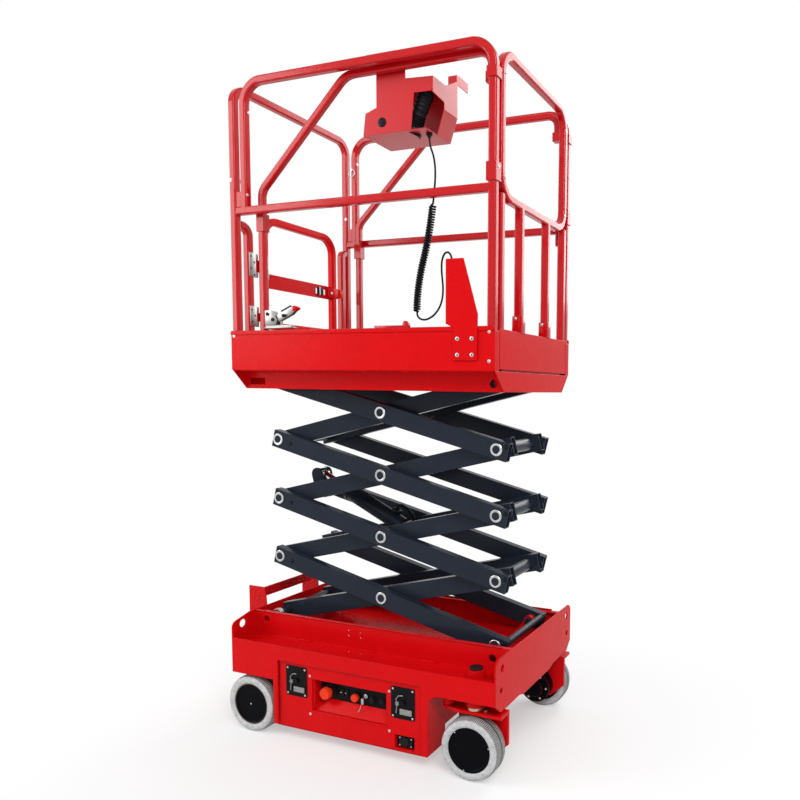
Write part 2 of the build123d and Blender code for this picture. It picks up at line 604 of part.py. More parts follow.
# Rollers at the lower rear and the upper rear of the scissor
for name, roller_z in (("lower_rollers", PIN_Z), ("upper_rollers", TOP_PIN_Z)):
    with BuildPart() as rollers:
        for side, _ in SIDES:
            bar_y(-PIN_X, roller_z, ROLLER_R, side * ROLLER_IN, side * (ROLLER_IN + ROLLER_W))
            bar_y(-PIN_X, roller_z, PIN_R, side * ROLLER_IN, side * (ROLLER_IN + ROLLER_W), Mode.SUBTRACT)
    finish(rollers, name)

# Lift cylinder: barrel on the second stage's middle axle, rod up to the bracket's eye
CYL_FOOT = (0.0, PIN_Z + 1.5 * STAGE_H)
CYL_SLOPE = radians(ARM_ANGLE)
CYL_EYE = (-PIN_X + EYE_ALONG * cos(CYL_SLOPE) - EYE_UP * sin(CYL_SLOPE),
           PIN_Z + 2 * STAGE_H + EYE_ALONG * sin(CYL_SLOPE) + EYE_UP * cos(CYL_SLOPE))
CYL_L = hypot(CYL_EYE[0] - CYL_FOOT[0], CYL_EYE[1] - CYL_FOOT[1])
CYL_ANGLE = atan2(CYL_EYE[1] - CYL_FOOT[1], CYL_EYE[0] - CYL_FOOT[0])
CYL_DIR = (cos(CYL_ANGLE), 0, sin(CYL_ANGLE))


def cylinder_plane(distance):
    """Plane square to the cylinder's axis, at a distance from its foot."""
    return Plane(origin=(FRAME_X + CYL_FOOT[0] + distance * CYL_DIR[0], 0,
                         CYL_FOOT[1] + distance * CYL_DIR[2]), x_dir=(0, 1, 0), z_dir=CYL_DIR)


with BuildPart() as lift_barrel:
    with BuildSketch(cylinder_plane(26)):
        Circle(BARREL_R)
    extrude(amount=BARREL_L)
    bar_y(CYL_FOOT[0], CYL_FOOT[1], BARREL_R - 2, -EYE_W / 2, EYE_W / 2)
    with BuildSketch(cylinder_plane(60)):
        Circle(ROD_R + 1)
    extrude(amount=BARREL_L, mode=Mode.SUBTRACT)
    bar_y(CYL_FOOT[0], CYL_FOOT[1], PIN_R + RUN_FIT, -EYE_W / 2, EYE_W / 2, Mode.SUBTRACT)
finish(lift_barrel, "lift_barrel")

with BuildPart() as lift_rod:
    with BuildSketch(cylinder_plane(110)):
        Circle(ROD_R)
    extrude(amount=CYL_L - 110)
    bar_y(CYL_EYE[0], CYL_EYE[1], EYE_R, -EYE_W / 2, EYE_W / 2)
finish(lift_rod, "lift_rod")

# Platform frame: folded side members, end plates, roller channels and the front pin lugs
CHANNEL_TOP = TOP_PIN_Z + ROLLER_R + SEAT_GAP
CHANNEL_LOW = TOP_PIN_Z - ROLLER_R - SEAT_GAP
BEARER_LOW = 1456.0
BEARER_IN = 40.0
BEARER_OUT = 80.0
with BuildPart() as platform_frame:
    for side, _ in SIDES:
        block(-DECK_X + SHEET_T, DECK_X - SHEET_T, side * SUB_Y, side * (SUB_Y - PLATE_T), SUB_LOW, TOE_LOW)
        block(-DECK_X + SHEET_T, DECK_FRONT, side * SUB_Y, side * (SUB_Y - PLATE_T), TOE_LOW,
              FLOOR_Z - FLOOR_T)
        block(-DECK_X + SHEET_T, DECK_FRONT, side * BEARER_IN, side * BEARER_OUT, BEARER_LOW,
              FLOOR_Z - FLOOR_T)
        block(-DECK_X + SHEET_T, DECK_X - SHEET_T, side * SUB_Y, side * DECK_Y, TOE_LOW - SHEET_T, TOE_LOW)
        bar_y(533, 1418, 16, side * SUB_Y, side * (SUB_Y - PLATE_T), Mode.SUBTRACT)
        block(-553, -478, side * SUB_Y, side * (SUB_Y - PLATE_T), 1404, 1430, Mode.SUBTRACT)
        channel_in = side * (ROLLER_IN - 2)
        channel_out = side * (ROLLER_IN + ROLLER_W + 12)
        block(-DECK_X + SHEET_T, 40, channel_in, channel_out, CHANNEL_TOP, CHANNEL_TOP + TRACK_T)
        block(-DECK_X + SHEET_T, 40, channel_in, channel_out, CHANNEL_LOW - TRACK_T, CHANNEL_LOW)
        block(-DECK_X + SHEET_T, 40, channel_out, channel_out - side * 6, CHANNEL_LOW - TRACK_T,
              FLOOR_Z - FLOOR_T)
        lug_in = side * (INNER_Y + 6)
        lug_out = side * (INNER_Y + 22)
        along_y([(PIN_X - 50, FLOOR_Z - FLOOR_T), (PIN_X - LUG_R, TOP_PIN_Z), (PIN_X + LUG_R, TOP_PIN_Z),
                 (DECK_FRONT - PLATE_T, BEARER_LOW), (DECK_FRONT - PLATE_T, FLOOR_Z - FLOOR_T)], lug_in, lug_out)
        bar_y(PIN_X, TOP_PIN_Z, LUG_R, lug_in, lug_out)
        bar_y(PIN_X, TOP_PIN_Z, PIN_R, lug_in, side * (INNER_Y - ARM_T + 1))
    for x_low in (-DECK_X, DECK_X - SHEET_T):
        along_x([(-SUB_Y, SUB_LOW), (SUB_Y, SUB_LOW), (DECK_Y, TOE_LOW), (-DECK_Y, TOE_LOW)],
                x_low, x_low + SHEET_T)
    for bearer_x in (-DECK_X + SHEET_T, DECK_FRONT - PLATE_T):
        block(bearer_x, bearer_x + PLATE_T, -SUB_Y, SUB_Y, BEARER_LOW, FLOOR_Z - FLOOR_T)
finish(platform_frame, "platform_frame")

with BuildPart() as deck_plate:
    block(-DECK_X + SHEET_T, DECK_FRONT, -DECK_Y, DECK_Y, FLOOR_Z - FLOOR_T, FLOOR_Z)
finish(deck_plate, "deck_plate")

with BuildPart() as toe_boards:
    for side, _ in SIDES:
        block(-DECK_X, DECK_X, side * DECK_Y, side * (DECK_Y + SHEET_T), TOE_LOW, TOE_TOP)
        block(-DECK_X, DECK_X, side * DECK_Y, side * (DECK_Y + 2 * SHEET_T), TOE_TOP - HEM_H, TOE_TOP)
        block(DECK_X - SHEET_T, DECK_X, side * DECK_Y, side * (DECK_Y - 33), TOE_LOW, TOE_TOP - HEM_H)
    block(-DECK_X, -DECK_X + SHEET_T, -DECK_Y, DECK_Y, TOE_LOW, TOE_TOP)
finish(toe_boards, "toe_boards")

# Cable guard on the near toe board
with BuildPart() as cable_guard:
    guard_y = -DECK_Y - 2 * SHEET_T
    guard = [(388, 1840), (456, 1840), (511, 1651), (508, 1495), (418, 1495), (418, 1606), (388, 1621)]
    along_y(guard, guard_y, guard_y - SHEET_T)
    block(388, 391, guard_y, guard_y + 30, 1622, 1840)
    block(430, 492, guard_y, guard_y + SHEET_T, 1500, 1590)
finish(cable_guard, "cable_guard")


def side_rails(side, builder_name):
    """One side guard rail: a hoop from the middle rail over to the front post, and the collars."""
    y = side * RAIL_Y
    top = RAIL_TOP - TUBE / 2
    with BuildPart() as rails:
        square_tube([(SIDE_POST_REAR, y, MID_RAIL_Z), (SIDE_POST_REAR, y, top), (SIDE_POST_FRONT, y, top),
                     (SIDE_POST_FRONT, y, FLOOR_Z)], SIDE_BEND, (0, 1, 0))
        square_tube([(REAR_POST_X + TUBE / 2, y, MID_RAIL_Z), (SIDE_POST_FRONT, y, MID_RAIL_Z)], 0, (0, 1, 0))
        block(REAR_POST_X + TUBE / 2, SIDE_POST_REAR - TUBE / 2, y - 10, y + 10, MID_RAIL_Z, MID_RAIL_Z + 72)
        collar(SIDE_POST_FRONT, y, 2090, 2151)
        collar(SIDE_POST_FRONT, y, 2421, 2456)
    finish(rails, builder_name)


for side, side_name in SIDES:
    side_rails(side, "side_rails_" + side_name)

# Rear guard rails: the hoop over the corner posts, and the quarter hoops beside the gate
with BuildPart() as rear_rails:
    hoop_top = RAIL_TOP - TUBE / 2 - 7
    square_tube([(REAR_POST_X, -RAIL_Y, FLOOR_Z), (REAR_POST_X, -RAIL_Y, hoop_top),
                 (REAR_POST_X, RAIL_Y, hoop_top), (REAR_POST_X, RAIL_Y, FLOOR_Z)], REAR_BEND, (1, 0, 0))
    post_face = RAIL_Y - TUBE / 2
    for start_y, hoop_y, bend in ((-post_face, HOOP_NEAR_Y, 36), (post_face, HOOP_FAR_Y, 20)):
        square_tube([(REAR_POST_X, start_y, HOOP_TOP), (REAR_POST_X, hoop_y, HOOP_TOP),
                     (REAR_POST_X, hoop_y, FLOOR_Z)], bend, (1, 0, 0))
finish(rear_rails, "rear_rails")

# Gate: a closed loop of tube with a flat middle bar that carries the latch
with BuildPart() as gate:
    square_tube([(REAR_POST_X, GATE_NEAR, GATE_LOW), (REAR_POST_X, GATE_NEAR, GATE_TOP),
                 (REAR_POST_X, GATE_FAR, GATE_TOP), (REAR_POST_X, GATE_FAR, GATE_LOW)], 70, (1, 0, 0))
    square_tube([(REAR_POST_X, GATE_NEAR, GATE_LOW + TUBE / 2), (REAR_POST_X, GATE_FAR, GATE_LOW + TUBE / 2)],
                0, (1, 0, 0))
    block(REAR_POST_X - 4, REAR_POST_X + 4, GATE_NEAR, GATE_FAR, 1800, 1858)
    block(REAR_POST_X - 4, REAR_POST_X + 4, 114, 185, 1816, 1842, Mode.SUBTRACT)
    for hinge_low, hinge_high in ((1834, 1926), (1637, 1716)):
        bar_z(REAR_POST_X, GATE_AXIS_Y, 7, hinge_low + 22, hinge_high - 22)
        block(REAR_POST_X - 2, REAR_POST_X + 2, GATE_AXIS_Y, GATE_NEAR - TUBE / 2, hinge_low + 22,
              hinge_high - 22)
        bar_z(REAR_POST_X, GATE_AXIS_Y, 4 + RUN_FIT, hinge_low, hinge_high, Mode.SUBTRACT)
finish(gate, "gate")

with BuildPart() as gate_hinges:
    for hinge_low, hinge_high in ((1834, 1926), (1637, 1716)):
        for low, high in ((hinge_low, hinge_low + 21.5), (hinge_high - 21.5, hinge_high)):
            bar_z(REAR_POST_X, GATE_AXIS_Y, 7, low, high)
            block(REAR_POST_X - 2, REAR_POST_X + 2, HOOP_NEAR_Y + TUBE / 2, GATE_AXIS_Y, low, high)
        bar_z(REAR_POST_X, GATE_AXIS_Y, 4, hinge_low, hinge_high)
finish(gate_hinges, "gate_hinges")

# Extension deck with its front panel and its own inner guard rails
LOFT_Z = FLOOR_Z + LOFT_GAP
with BuildPart() as extension_deck:
    block(-480, DECK_X - SHEET_T, -PANEL_HALF, PANEL_HALF, LOFT_Z, LOFT_Z + FLOOR_T)
    for pad_x in (-440, -100, 240, 500):
        for side, _ in SIDES:
            block(pad_x, pad_x + 40, side * 250, side * 290, FLOOR_Z + SEAT_GAP, LOFT_Z)
finish(extension_deck, "extension_deck")

with BuildPart() as extension_panel:
    block(DECK_X - SHEET_T, DECK_X, -PANEL_HALF, PANEL_HALF, PANEL_LOW, PANEL_TOP)
    block(DECK_X - TUBE, DECK_X - SHEET_T, -PANEL_HALF, PANEL_HALF, PANEL_TOP - SHEET_T, PANEL_TOP)
finish(extension_panel, "extension_panel")

with BuildPart() as extension_rails:
    for side, _ in SIDES:
        y = side * EXT_Y
        square_tube([(EXT_REAR, y, LOFT_Z + FLOOR_T), (EXT_REAR, y, 2150), (-60, y, EXT_RAIL_Z),
                     (EXT_POST_X, y, EXT_RAIL_Z), (EXT_POST_X, y, STUB_LOW)], (60, 90, 50), (0, 1, 0),
                    EXT_TUBE, EXT_TUBE_FILLET)
        collar(EXT_REAR, y, 1995, 2061, EXT_TUBE)
        half = EXT_TUBE / 2 + COLLAR_T
        block(EXT_POST_X - half, EXT_FRONT - TUBE / 2, y - half, y + half, STUB_LOW, CLAMP_TOP)
finish(extension_rails, "extension_rails")

with BuildPart() as front_rails:
    for across_z in (RAIL_TOP - 28, FRONT_MID_Z):
        square_tube([(EXT_FRONT, -FRONT_POST_Y, LOOP_JOIN_Z), (EXT_FRONT, -FRONT_POST_Y, across_z),
                     (EXT_FRONT, FRONT_POST_Y, across_z), (EXT_FRONT, FRONT_POST_Y, LOOP_JOIN_Z)],
                    LOOP_BEND, (1, 0, 0))
    for side, _ in SIDES:
        y = side * FRONT_POST_Y
        square_tube([(EXT_FRONT, y, PANEL_TOP), (EXT_FRONT, y, FRONT_MID_Z + 3)], 0, (1, 0, 0))
        block(EXT_FRONT - TUBE / 2 - 8, EXT_FRONT - TUBE / 2, y - TUBE / 2, y + TUBE / 2, 1995, 2097)
    for baluster_y in BALUSTERS:
        square_tube([(EXT_FRONT, baluster_y, PANEL_TOP), (EXT_FRONT, baluster_y, FRONT_MID_Z)], 0, (1, 0, 0))
finish(front_rails, "front_rails")

# Upper control box on the near rail, its joystick and its curly cord
BOX_NEAR = -290.0
BOX_LOW = 2312.0
BOX_FAR = -112.0
with BuildPart() as control_box:
    near_plate = [(0, BOX_LOW), (202, BOX_LOW), (214, 2439), (285, 2437), (291, 2486), (178, 2492),
                  (178, RAIL_TOP + 3), (57, RAIL_TOP + 3), (57, 2406), (10, 2390)]
    along_y(near_plate, BOX_NEAR, BOX_NEAR + SHEET_T)
    far_plate = [(0, BOX_LOW), (262, BOX_LOW), (291, 2400), (291, 2556), (253, 2556), (253, 2486), (57, 2486),
                 (57, 2406), (10, 2390)]
    along_y(far_plate, BOX_FAR, BOX_FAR - SHEET_T)
    block(0, 262, BOX_NEAR, BOX_FAR, BOX_LOW, BOX_LOW + SHEET_T)
    along_y([(0, BOX_LOW), (3, BOX_LOW), (13, 2390), (10, 2390)], BOX_NEAR, BOX_FAR)
    block(57, 291, BOX_NEAR, BOX_FAR, 2483, 2486)
    along_x([(BOX_NEAR, 2433), (BOX_NEAR, 2486), (-198, 2486), (-130, 2524), (-118, 2530), (-118, 2556),
             (-31, 2556), (-31, 2521), (BOX_FAR, 2521), (BOX_FAR, 2400), (-210, 2400), (-209, 2424)], 288, 291)
    along_y([(259, BOX_LOW), (262, BOX_LOW), (291, 2400), (288, 2400)], -210, BOX_FAR)
    block(57, 178, -350, BOX_NEAR + SHEET_T, RAIL_TOP + SEAT_GAP, RAIL_TOP + 3)
finish(control_box, "control_box")

with BuildPart() as joystick:
    lean = (0.42, 0, 0.91)
    with BuildSketch(Plane(origin=(FRAME_X + 180, -240, BOX_LOW + SHEET_T), x_dir=(1, 0, 0), z_dir=(0, 0, 1))):
        Circle(34)
    extrude(amount=16)
    with BuildSketch(Plane(origin=(FRAME_X + 180, -240, 2329), x_dir=(0, 1, 0), z_dir=lean)):
        Circle(29)
    extrude(amount=58, taper=4)
    with BuildSketch(Plane(origin=(FRAME_X + 203, -240, 2379), x_dir=(0, 1, 0), z_dir=lean)):
        Circle(25)
    extrude(amount=82, taper=-2)
finish(joystick, "joystick")

# Tapered strain reliefs: under the control box and on the cable guard
with BuildPart() as cord_glands:
    for gland_x, gland_y, wide_z, narrow_z in ((247, -240, BOX_LOW, 2296), (403, -347, 1786, 1806)):
        way = 1 if narrow_z > wide_z else -1
        with BuildSketch(Plane(origin=(FRAME_X + gland_x, gland_y, wide_z), x_dir=(1, 0, 0), z_dir=(0, 0, way))):
            Circle(9)
        extrude(amount=abs(narrow_z - wide_z), taper=10)
    block(393, 413, -DECK_Y - 2 * SHEET_T, -338, 1780, 1786)
finish(cord_glands, "cord_glands")

CORD_R = 4.0
COIL_R = 12.0
LEAD_ROUTE = [(247, -240, 2296), (247, -240, 2268), (264, -252, 2236), (282, -268, 2188), (293, -283, 2134),
              (297, -294, 2088), (296, -300, 2047.7)]
COIL_ROUTE = [(296, -300, 2047), (286, -300, 1985), (270, -300, 1900), (252, -300, 1825), (238, -300, 1745),
              (231, -300, 1667)]
TAIL_ROUTE = [(231.2, -300, 1665.8), (236, -300, 1640), (262, -300, 1628), (300, -300, 1646), (326, -300, 1690),
              (334, -300, 1745), (327, -302, 1800), (332, -308, 1850), (356, -322, 1884), (388, -338, 1880),
              (403, -347, 1846), (403, -347, 1806)]


def cord_radii(route):
    """Largest tangent arc at each corner: 0.45 of the shorter run over the tangent of half the turn."""
    radii = []
    for before, corner, after in zip(route, route[1:], route[2:]):
        first = Vector(*corner) - Vector(*before)
        second = Vector(*after) - Vector(*corner)
        half_turn = radians(first.get_angle(second)) / 2
        radii.append(0.45 * min(first.length, second.length) / tan(half_turn))
    return radii


def cord_tube(route, radius):
    """A round cord along straight runs joined by tangent arcs."""
    placed = [(FRAME_X + x, y, z) for x, y, z in route]
    radii = cord_radii(placed)
    print("cord radii", [round(value) for value in radii])
    with BuildLine() as path:
        FilletPolyline(*placed, radius=radii)
    with BuildSketch(Plane(origin=path.line @ 0, z_dir=path.line % 0)) as section:
        Circle(radius)
    sweep(section.sketch, path=path.line)
    length = path.wires()[0].length
    print("cord length", round(length, 1), "section times length", round(section.sketch.area * length, 1))


with BuildPart() as control_cord:
    cord_tube(LEAD_ROUTE, CORD_R)
    cord_tube(TAIL_ROUTE, CORD_R)
print("cord volume", round(control_cord.part.volume, 1))
finish(control_cord, "control_cord")

with BuildPart() as cord_coil:
    cord_tube(COIL_ROUTE, COIL_R)
finish(cord_coil, "cord_coil")

# Toggle latch that holds the extension deck, beside the near toe board
with BuildPart() as toggle_latch:
    latch_rear = EXT_REAR + EXT_TUBE / 2
    block(latch_rear, -317, -EXT_Y - 10, -EXT_Y + 10, 1626, 1634)
    block(latch_rear, -400, -EXT_Y - 10, -EXT_Y + 10, 1634, 1686)
    along_y([(-400, 1650), (-312, 1688), (-290, 1694), (-292, 1704), (-315, 1708), (-400, 1672)],
            -EXT_Y - 4, -EXT_Y + 4)
finish(toggle_latch, "toggle_latch")
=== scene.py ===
"""Looks for the mobile scissor lift: finishes for its solids and the small parts that sit on them.

Sizes are in millimetres from the middle of the chassis, as in the part's source; place() moves them to the row frame.
"""

import logging
import math
from dataclasses import dataclass, field, replace
from enum import Enum

import bmesh
import bpy
from mathutils import Matrix, Vector

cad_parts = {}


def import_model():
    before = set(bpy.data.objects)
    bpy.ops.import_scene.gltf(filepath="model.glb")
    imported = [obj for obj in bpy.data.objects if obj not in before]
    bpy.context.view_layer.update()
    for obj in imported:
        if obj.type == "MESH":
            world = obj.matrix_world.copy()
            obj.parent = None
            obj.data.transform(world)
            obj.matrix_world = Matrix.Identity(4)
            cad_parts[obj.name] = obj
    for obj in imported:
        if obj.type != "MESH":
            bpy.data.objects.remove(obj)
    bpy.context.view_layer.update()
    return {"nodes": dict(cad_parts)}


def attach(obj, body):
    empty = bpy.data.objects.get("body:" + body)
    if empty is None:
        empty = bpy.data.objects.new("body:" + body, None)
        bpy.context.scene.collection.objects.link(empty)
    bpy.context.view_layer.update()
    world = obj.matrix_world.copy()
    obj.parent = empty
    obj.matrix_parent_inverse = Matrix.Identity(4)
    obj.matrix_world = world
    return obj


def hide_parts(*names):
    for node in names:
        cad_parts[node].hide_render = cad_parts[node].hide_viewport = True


LOG = logging.getLogger("scissor_lift")
FRAME_SHIFT = 39.5
MILLI = 1000
SHARP_DEGREES = 35.0
COAT_ROUGHNESS = 0.08
Pair = tuple[float, float]
Triple = tuple[float, float, float]
Spot = tuple[Triple, Triple]
Socket = bpy.types.NodeSocket
Value = float | tuple[float, ...] | bpy.types.Material | Socket
NEAR = -1
FAR = 1
SIDES = ((NEAR, "near"), (FAR, "far"))
FORWARDS: Triple = (1, 0, 0)
TO_NEAR: Triple = (0, NEAR, 0)
UPWARDS: Triple = (0, 0, 1)


def place(x: float, y: float, z: float) -> Vector:
    """Chassis millimetres to row-frame metres."""
    return Vector(((x + FRAME_SHIFT) / MILLI, y / MILLI, z / MILLI))


def around(x: float, z: float, radius: float, turns: list[float]) -> list[Pair]:
    """x and z of the points at the given angles, in radians, on an upright circle."""
    return [(x + radius * math.cos(turn), z + radius * math.sin(turn)) for turn in turns]


def four_spots(y: float, xs: Pair, zs: Pair) -> list[Spot]:
    """Fastener places at the corners of a rectangle that faces the near side."""
    return [((x, y, z), TO_NEAR) for x in xs for z in zs]


class Slot(Enum):
    """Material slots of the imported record."""

    RED = "red"
    SLATE = "slate"
    SILVER = "silver"
    HUB = "hub_black"
    TYRE = "tyre_grey"
    PLASTIC = "black_plastic"
    STOP = "stop_red"
    CORD = "cord"
    BATTERY = "battery"


class Wear(Enum):
    """How a surface's colour varies."""

    LIGHT = 0.35
    USED = 0.8


@dataclass
class Wiring:
    """Adds nodes to one node tree and joins them.

    Attributes:
        tree: node tree of a material, of the world or of a modifier.
    """

    tree: bpy.types.NodeTree

    def fill(self, node: bpy.types.Node, inputs: dict[str | int, Value]) -> None:
        """Sets a node's inputs.

        Args:
            node: the node.
            inputs: plain values, or sockets to link from, by the input's name or number.
        """
        for name, value in inputs.items():
            if isinstance(value, Socket):
                self.tree.links.new(value, node.inputs[name])
            else:
                node.inputs[name].default_value = value

    def add(self, kind: str, inputs: dict[str | int, Value] | None = None,
            **settings: str | int | bool) -> bpy.types.Node:
        """Adds one node.

        Args:
            kind: Blender's type of the node.
            inputs: plain values or sockets by the input's name or number.
            settings: the node's own properties by name.

        Returns:
            The node.
        """
        node = self.tree.nodes.new(kind)
        for name, value in settings.items():
            setattr(node, name, value)
        self.fill(node, inputs or {})
        return node

    def math(self, kind: str, first: Value, second: Value = 0.0) -> Socket:
        """Result of a Math node."""
        return self.add("ShaderNodeMath", {0: first, 1: second}, operation=kind).outputs["Value"]

    def noise(self, where: Socket, scale: float, detail: float) -> Socket:
        """Factor of a noise texture, with its scale in cycles per metre and its detail in octaves."""
        return self.add("ShaderNodeTexNoise", {"Vector": where, "Scale": scale, "Detail": detail}).outputs["Fac"]

    def ramp(self, value: Socket, to_min: float, to_max: float, from_min: float = 0.0, from_max: float = 1.0,
             kind: str = "LINEAR") -> Socket:
        """Maps a value from one range to another.

        Args:
            value: the value.
            to_min: result at from_min.
            to_max: result at from_max.
            from_min: low end of the value's range.
            from_max: high end of the value's range.
            kind: the node's interpolation.

        Returns:
            The result's socket.
        """
        made = self.add("ShaderNodeMapRange", {
            "Value": value, "From Min": from_min, "From Max": from_max, "To Min": to_min, "To Max": to_max},
            interpolation_type=kind)
        return made.outputs["Result"]

    def mix(self, share: Socket, first: Value, second: Value) -> Socket:
        """Colour between two others."""
        made = self.add("ShaderNodeMix", {"Factor": share, "A": first, "B": second}, data_type="RGBA")
        return made.outputs["Result"]


@dataclass(frozen=True)
class Finish:
    """A painted, plated or moulded surface.

    Attributes:
        name: name of the Blender material.
        colour: linear base colour.
        second: colour that the first one drifts to in patches.
        slot: record slot that pieces with this finish would use; not used.
        rough: roughness of the clean surface.
        metal: metallic share.
        coat: clear coat weight.
        grain: size of the fine surface texture, in cycles per metre.
        relief: height of the fine texture, in metres.
        wear: how much the colour varies.
        edge: width of the softened edges, in metres, or 0.
        gloss: specular level of the surface.
        patch: size of the colour patches, in cycles per metre.
        smear: size of the patches of roughness, in cycles per metre.
        drift: noise values between which the second colour comes in.
    """

    name: str
    colour: Triple
    second: Triple
    slot: Slot
    rough: float = 0.35
    metal: float = 0.0
    coat: float = 0.0
    grain: float = 400.0
    relief: float = 0.00004
    wear: Wear = Wear.LIGHT
    edge: float = 0.0012
    gloss: float = 0.4
    patch: float = 9.0
    smear: float = 23.0
    drift: Pair = (0.35, 0.75)

    def material(self) -> bpy.types.Material:
        """The Blender material, built once and then reused.

        Returns:
            The material with its node tree.
        """
        known = bpy.data.materials.get(self.name)
        if known:
            return known
        made = bpy.data.materials.new(self.name)
        made.use_nodes = True
        made.diffuse_color = (*self.colour, 1.0)
        wires = Wiring(made.node_tree)
        where = wires.add("ShaderNodeTexCoord").outputs["Object"]
        wires.fill(made.node_tree.nodes["Principled BSDF"], {
            "Metallic": self.metal, "Coat Weight": self.coat, "Coat Roughness": COAT_ROUGHNESS,
            "Specular IOR Level": self.gloss, "Base Color": self._colour(wires, where),
            "Roughness": self._roughness(wires, where), "Normal": self._normal(wires, where)})
        return made

    def _colour(self, wires: Wiring, where: Socket) -> Socket:
        """Base colour that drifts in patches.

        Args:
            wires: the material's node tree.
            where: socket with the coordinates.

        Returns:
            The colour.
        """
        share = wires.ramp(wires.noise(where, self.patch, 5.0), 0.0, self.wear.value, *self.drift)
        return wires.mix(share, (*self.colour, 1.0), (*self.second, 1.0))

    def _roughness(self, wires: Wiring, where: Socket) -> Socket:
        """Roughness with faint smears."""
        return wires.ramp(wires.noise(where, self.smear, 4.0), max(0.04, self.rough - 0.07), min(1.0, self.rough + 0.1))

    def _normal(self, wires: Wiring, where: Socket) -> Socket:
        """Fine texture, over edges that catch light as rolled or ground edges do.

        Args:
            wires: the material's node tree.
            where: socket with the coordinates.

        Returns:
            The normal.
        """
        inputs = {"Distance": self.relief, "Strength": 1.0, "Height": wires.noise(where, self.grain, 2.0)}
        if self.edge:
            inputs["Normal"] = wires.add("ShaderNodeBevel", {"Radius": self.edge}, samples=4).outputs["Normal"]
        return wires.add("ShaderNodeBump", inputs).outputs["Normal"]


@dataclass(frozen=True)
class ChequerFinish(Finish):
    """Painted floor plate with raised bars, two ways round in a square pattern.

    Attributes:
        pitch: distance between the bars, in metres.
        height: height of the bars, in metres.
    """

    pitch: float = 0.028
    height: float = 0.0009

    def _normal(self, wires: Wiring, where: Socket) -> Socket:
        """Raised bars as a bump in the plate's own two directions.

        Args:
            wires: the material's node tree.
            where: socket with the coordinates.

        Returns:
            The normal.
        """
        bars = []
        for turn in (math.radians(45), math.radians(-45)):
            turned = wires.add("ShaderNodeMapping", {"Vector": where, "Rotation": (turn, turn, turn)})
            brick = wires.add("ShaderNodeTexBrick", {
                "Vector": turned.outputs["Vector"], "Scale": 1.0, "Brick Width": self.pitch,
                "Row Height": self.pitch / 2, "Mortar Size": self.pitch * 0.19, "Mortar Smooth": 0.4})
            bars.append(brick.outputs["Fac"])
        inputs = {"Distance": self.height, "Height": wires.math("MULTIPLY", *bars)}
        return wires.add("ShaderNodeBump", inputs, invert=True).outputs["Normal"]


@dataclass(frozen=True)
class TreadFinish(Finish):
    """Solid rubber tyre: cross ribs and a middle groove on the tread, and rings on the sidewalls.

    Attributes:
        axle: x and z of the wheel's axle, in row-frame metres.
        track: distance of the tread's middle from the machine's middle.
        ribs: cross ribs around the tread.
        depth: depth of the ribs, in metres.
        shoulder: radius where the tread starts, in metres.
        groove: half the width of the middle groove, in metres.
        ring: distance between the sidewall's rings, in metres.
        hollow_shade: dark colour painted as shade between the ribs and in the groove.
        hollow_shade_share: share of that painted shade between two ribs.
        groove_depth: depth of the groove, as a multiple of the ribs'.
        ring_height: height of the rings, as a share of the ribs'.
    """

    axle: Pair = (0.0, 0.0)
    track: float = 0.340
    ribs: int = 110
    depth: float = 0.0018
    shoulder: float = 0.1095
    groove: float = 0.0035
    ring: float = 0.0058
    # The hollows' dark colour is painted shade between the ribs and in the groove.
    hollow_shade: Triple = (0.07, 0.07, 0.068)
    hollow_shade_share: float = 0.9
    groove_depth: float = 4.0
    ring_height: float = 0.35

    def _tread(self, wires: Wiring, where: Socket) -> tuple[Socket, ...]:
        """The tyre's pattern from the place around the axle.

        Args:
            wires: the material's node tree.
            where: socket with the coordinates.

        Returns:
            The distance from the axle, the ribs as a wave from -1 to 1, 1 on the tread, and 1 in its middle groove.
        """
        apart = wires.add("ShaderNodeSeparateXYZ", {"Vector": where}).outputs
        along = wires.math("SUBTRACT", apart["X"], self.axle[0])
        rise = wires.math("SUBTRACT", apart["Z"], self.axle[1])
        square = wires.math("ADD", wires.math("POWER", along, 2.0), wires.math("POWER", rise, 2.0))
        radius = wires.math("POWER", square, 0.5)
        ribs = wires.math("SINE", wires.math("MULTIPLY", wires.math("ARCTAN2", rise, along), self.ribs))
        tread = wires.math("GREATER_THAN", radius, self.shoulder)
        side = wires.math("SUBTRACT", wires.math("ABSOLUTE", apart["Y"]), self.track)
        groove = wires.math("LESS_THAN", wires.math("ABSOLUTE", side), self.groove)
        return radius, ribs, tread, groove

    def _colour(self, wires: Wiring, where: Socket) -> Socket:
        """Rubber with painted shade between the ribs and in the groove.

        Args:
            wires: the material's node tree.
            where: socket with the coordinates.

        Returns:
            The colour.
        """
        _, ribs, tread, groove = self._tread(wires, where)
        # Painted shade: the colour darkens towards the hollow between two ribs and in the groove.
        low = wires.math("MULTIPLY", wires.math("SUBTRACT", ribs, 1.0), -self.hollow_shade_share / 2)
        hollow_shade_mask = wires.math("MULTIPLY", wires.math("MAXIMUM", low, groove), tread)
        return wires.mix(hollow_shade_mask, super()._colour(wires, where), (*self.hollow_shade, 1.0))

    def _normal(self, wires: Wiring, where: Socket) -> Socket:
        """Ribs by the angle around the axle, rings by the distance from it.

        Args:
            wires: the material's node tree.
            where: socket with the coordinates.

        Returns:
            The normal.
        """
        radius, ribs, tread, groove = self._tread(wires, where)
        cut = wires.math("SUBTRACT", ribs, wires.math("MULTIPLY", groove, self.groove_depth))
        crown = wires.math("MULTIPLY", cut, tread)
        rings = wires.math("SINE", wires.math("MULTIPLY", radius, math.tau / self.ring))
        flank = wires.math("MULTIPLY", rings, wires.math("LESS_THAN", radius, self.shoulder))
        height = wires.math("ADD", crown, wires.math("MULTIPLY", flank, self.ring_height))
        bump = wires.add("ShaderNodeBump", {"Distance": self.depth, "Strength": 0.8, "Height": height})
        return bump.outputs["Normal"]


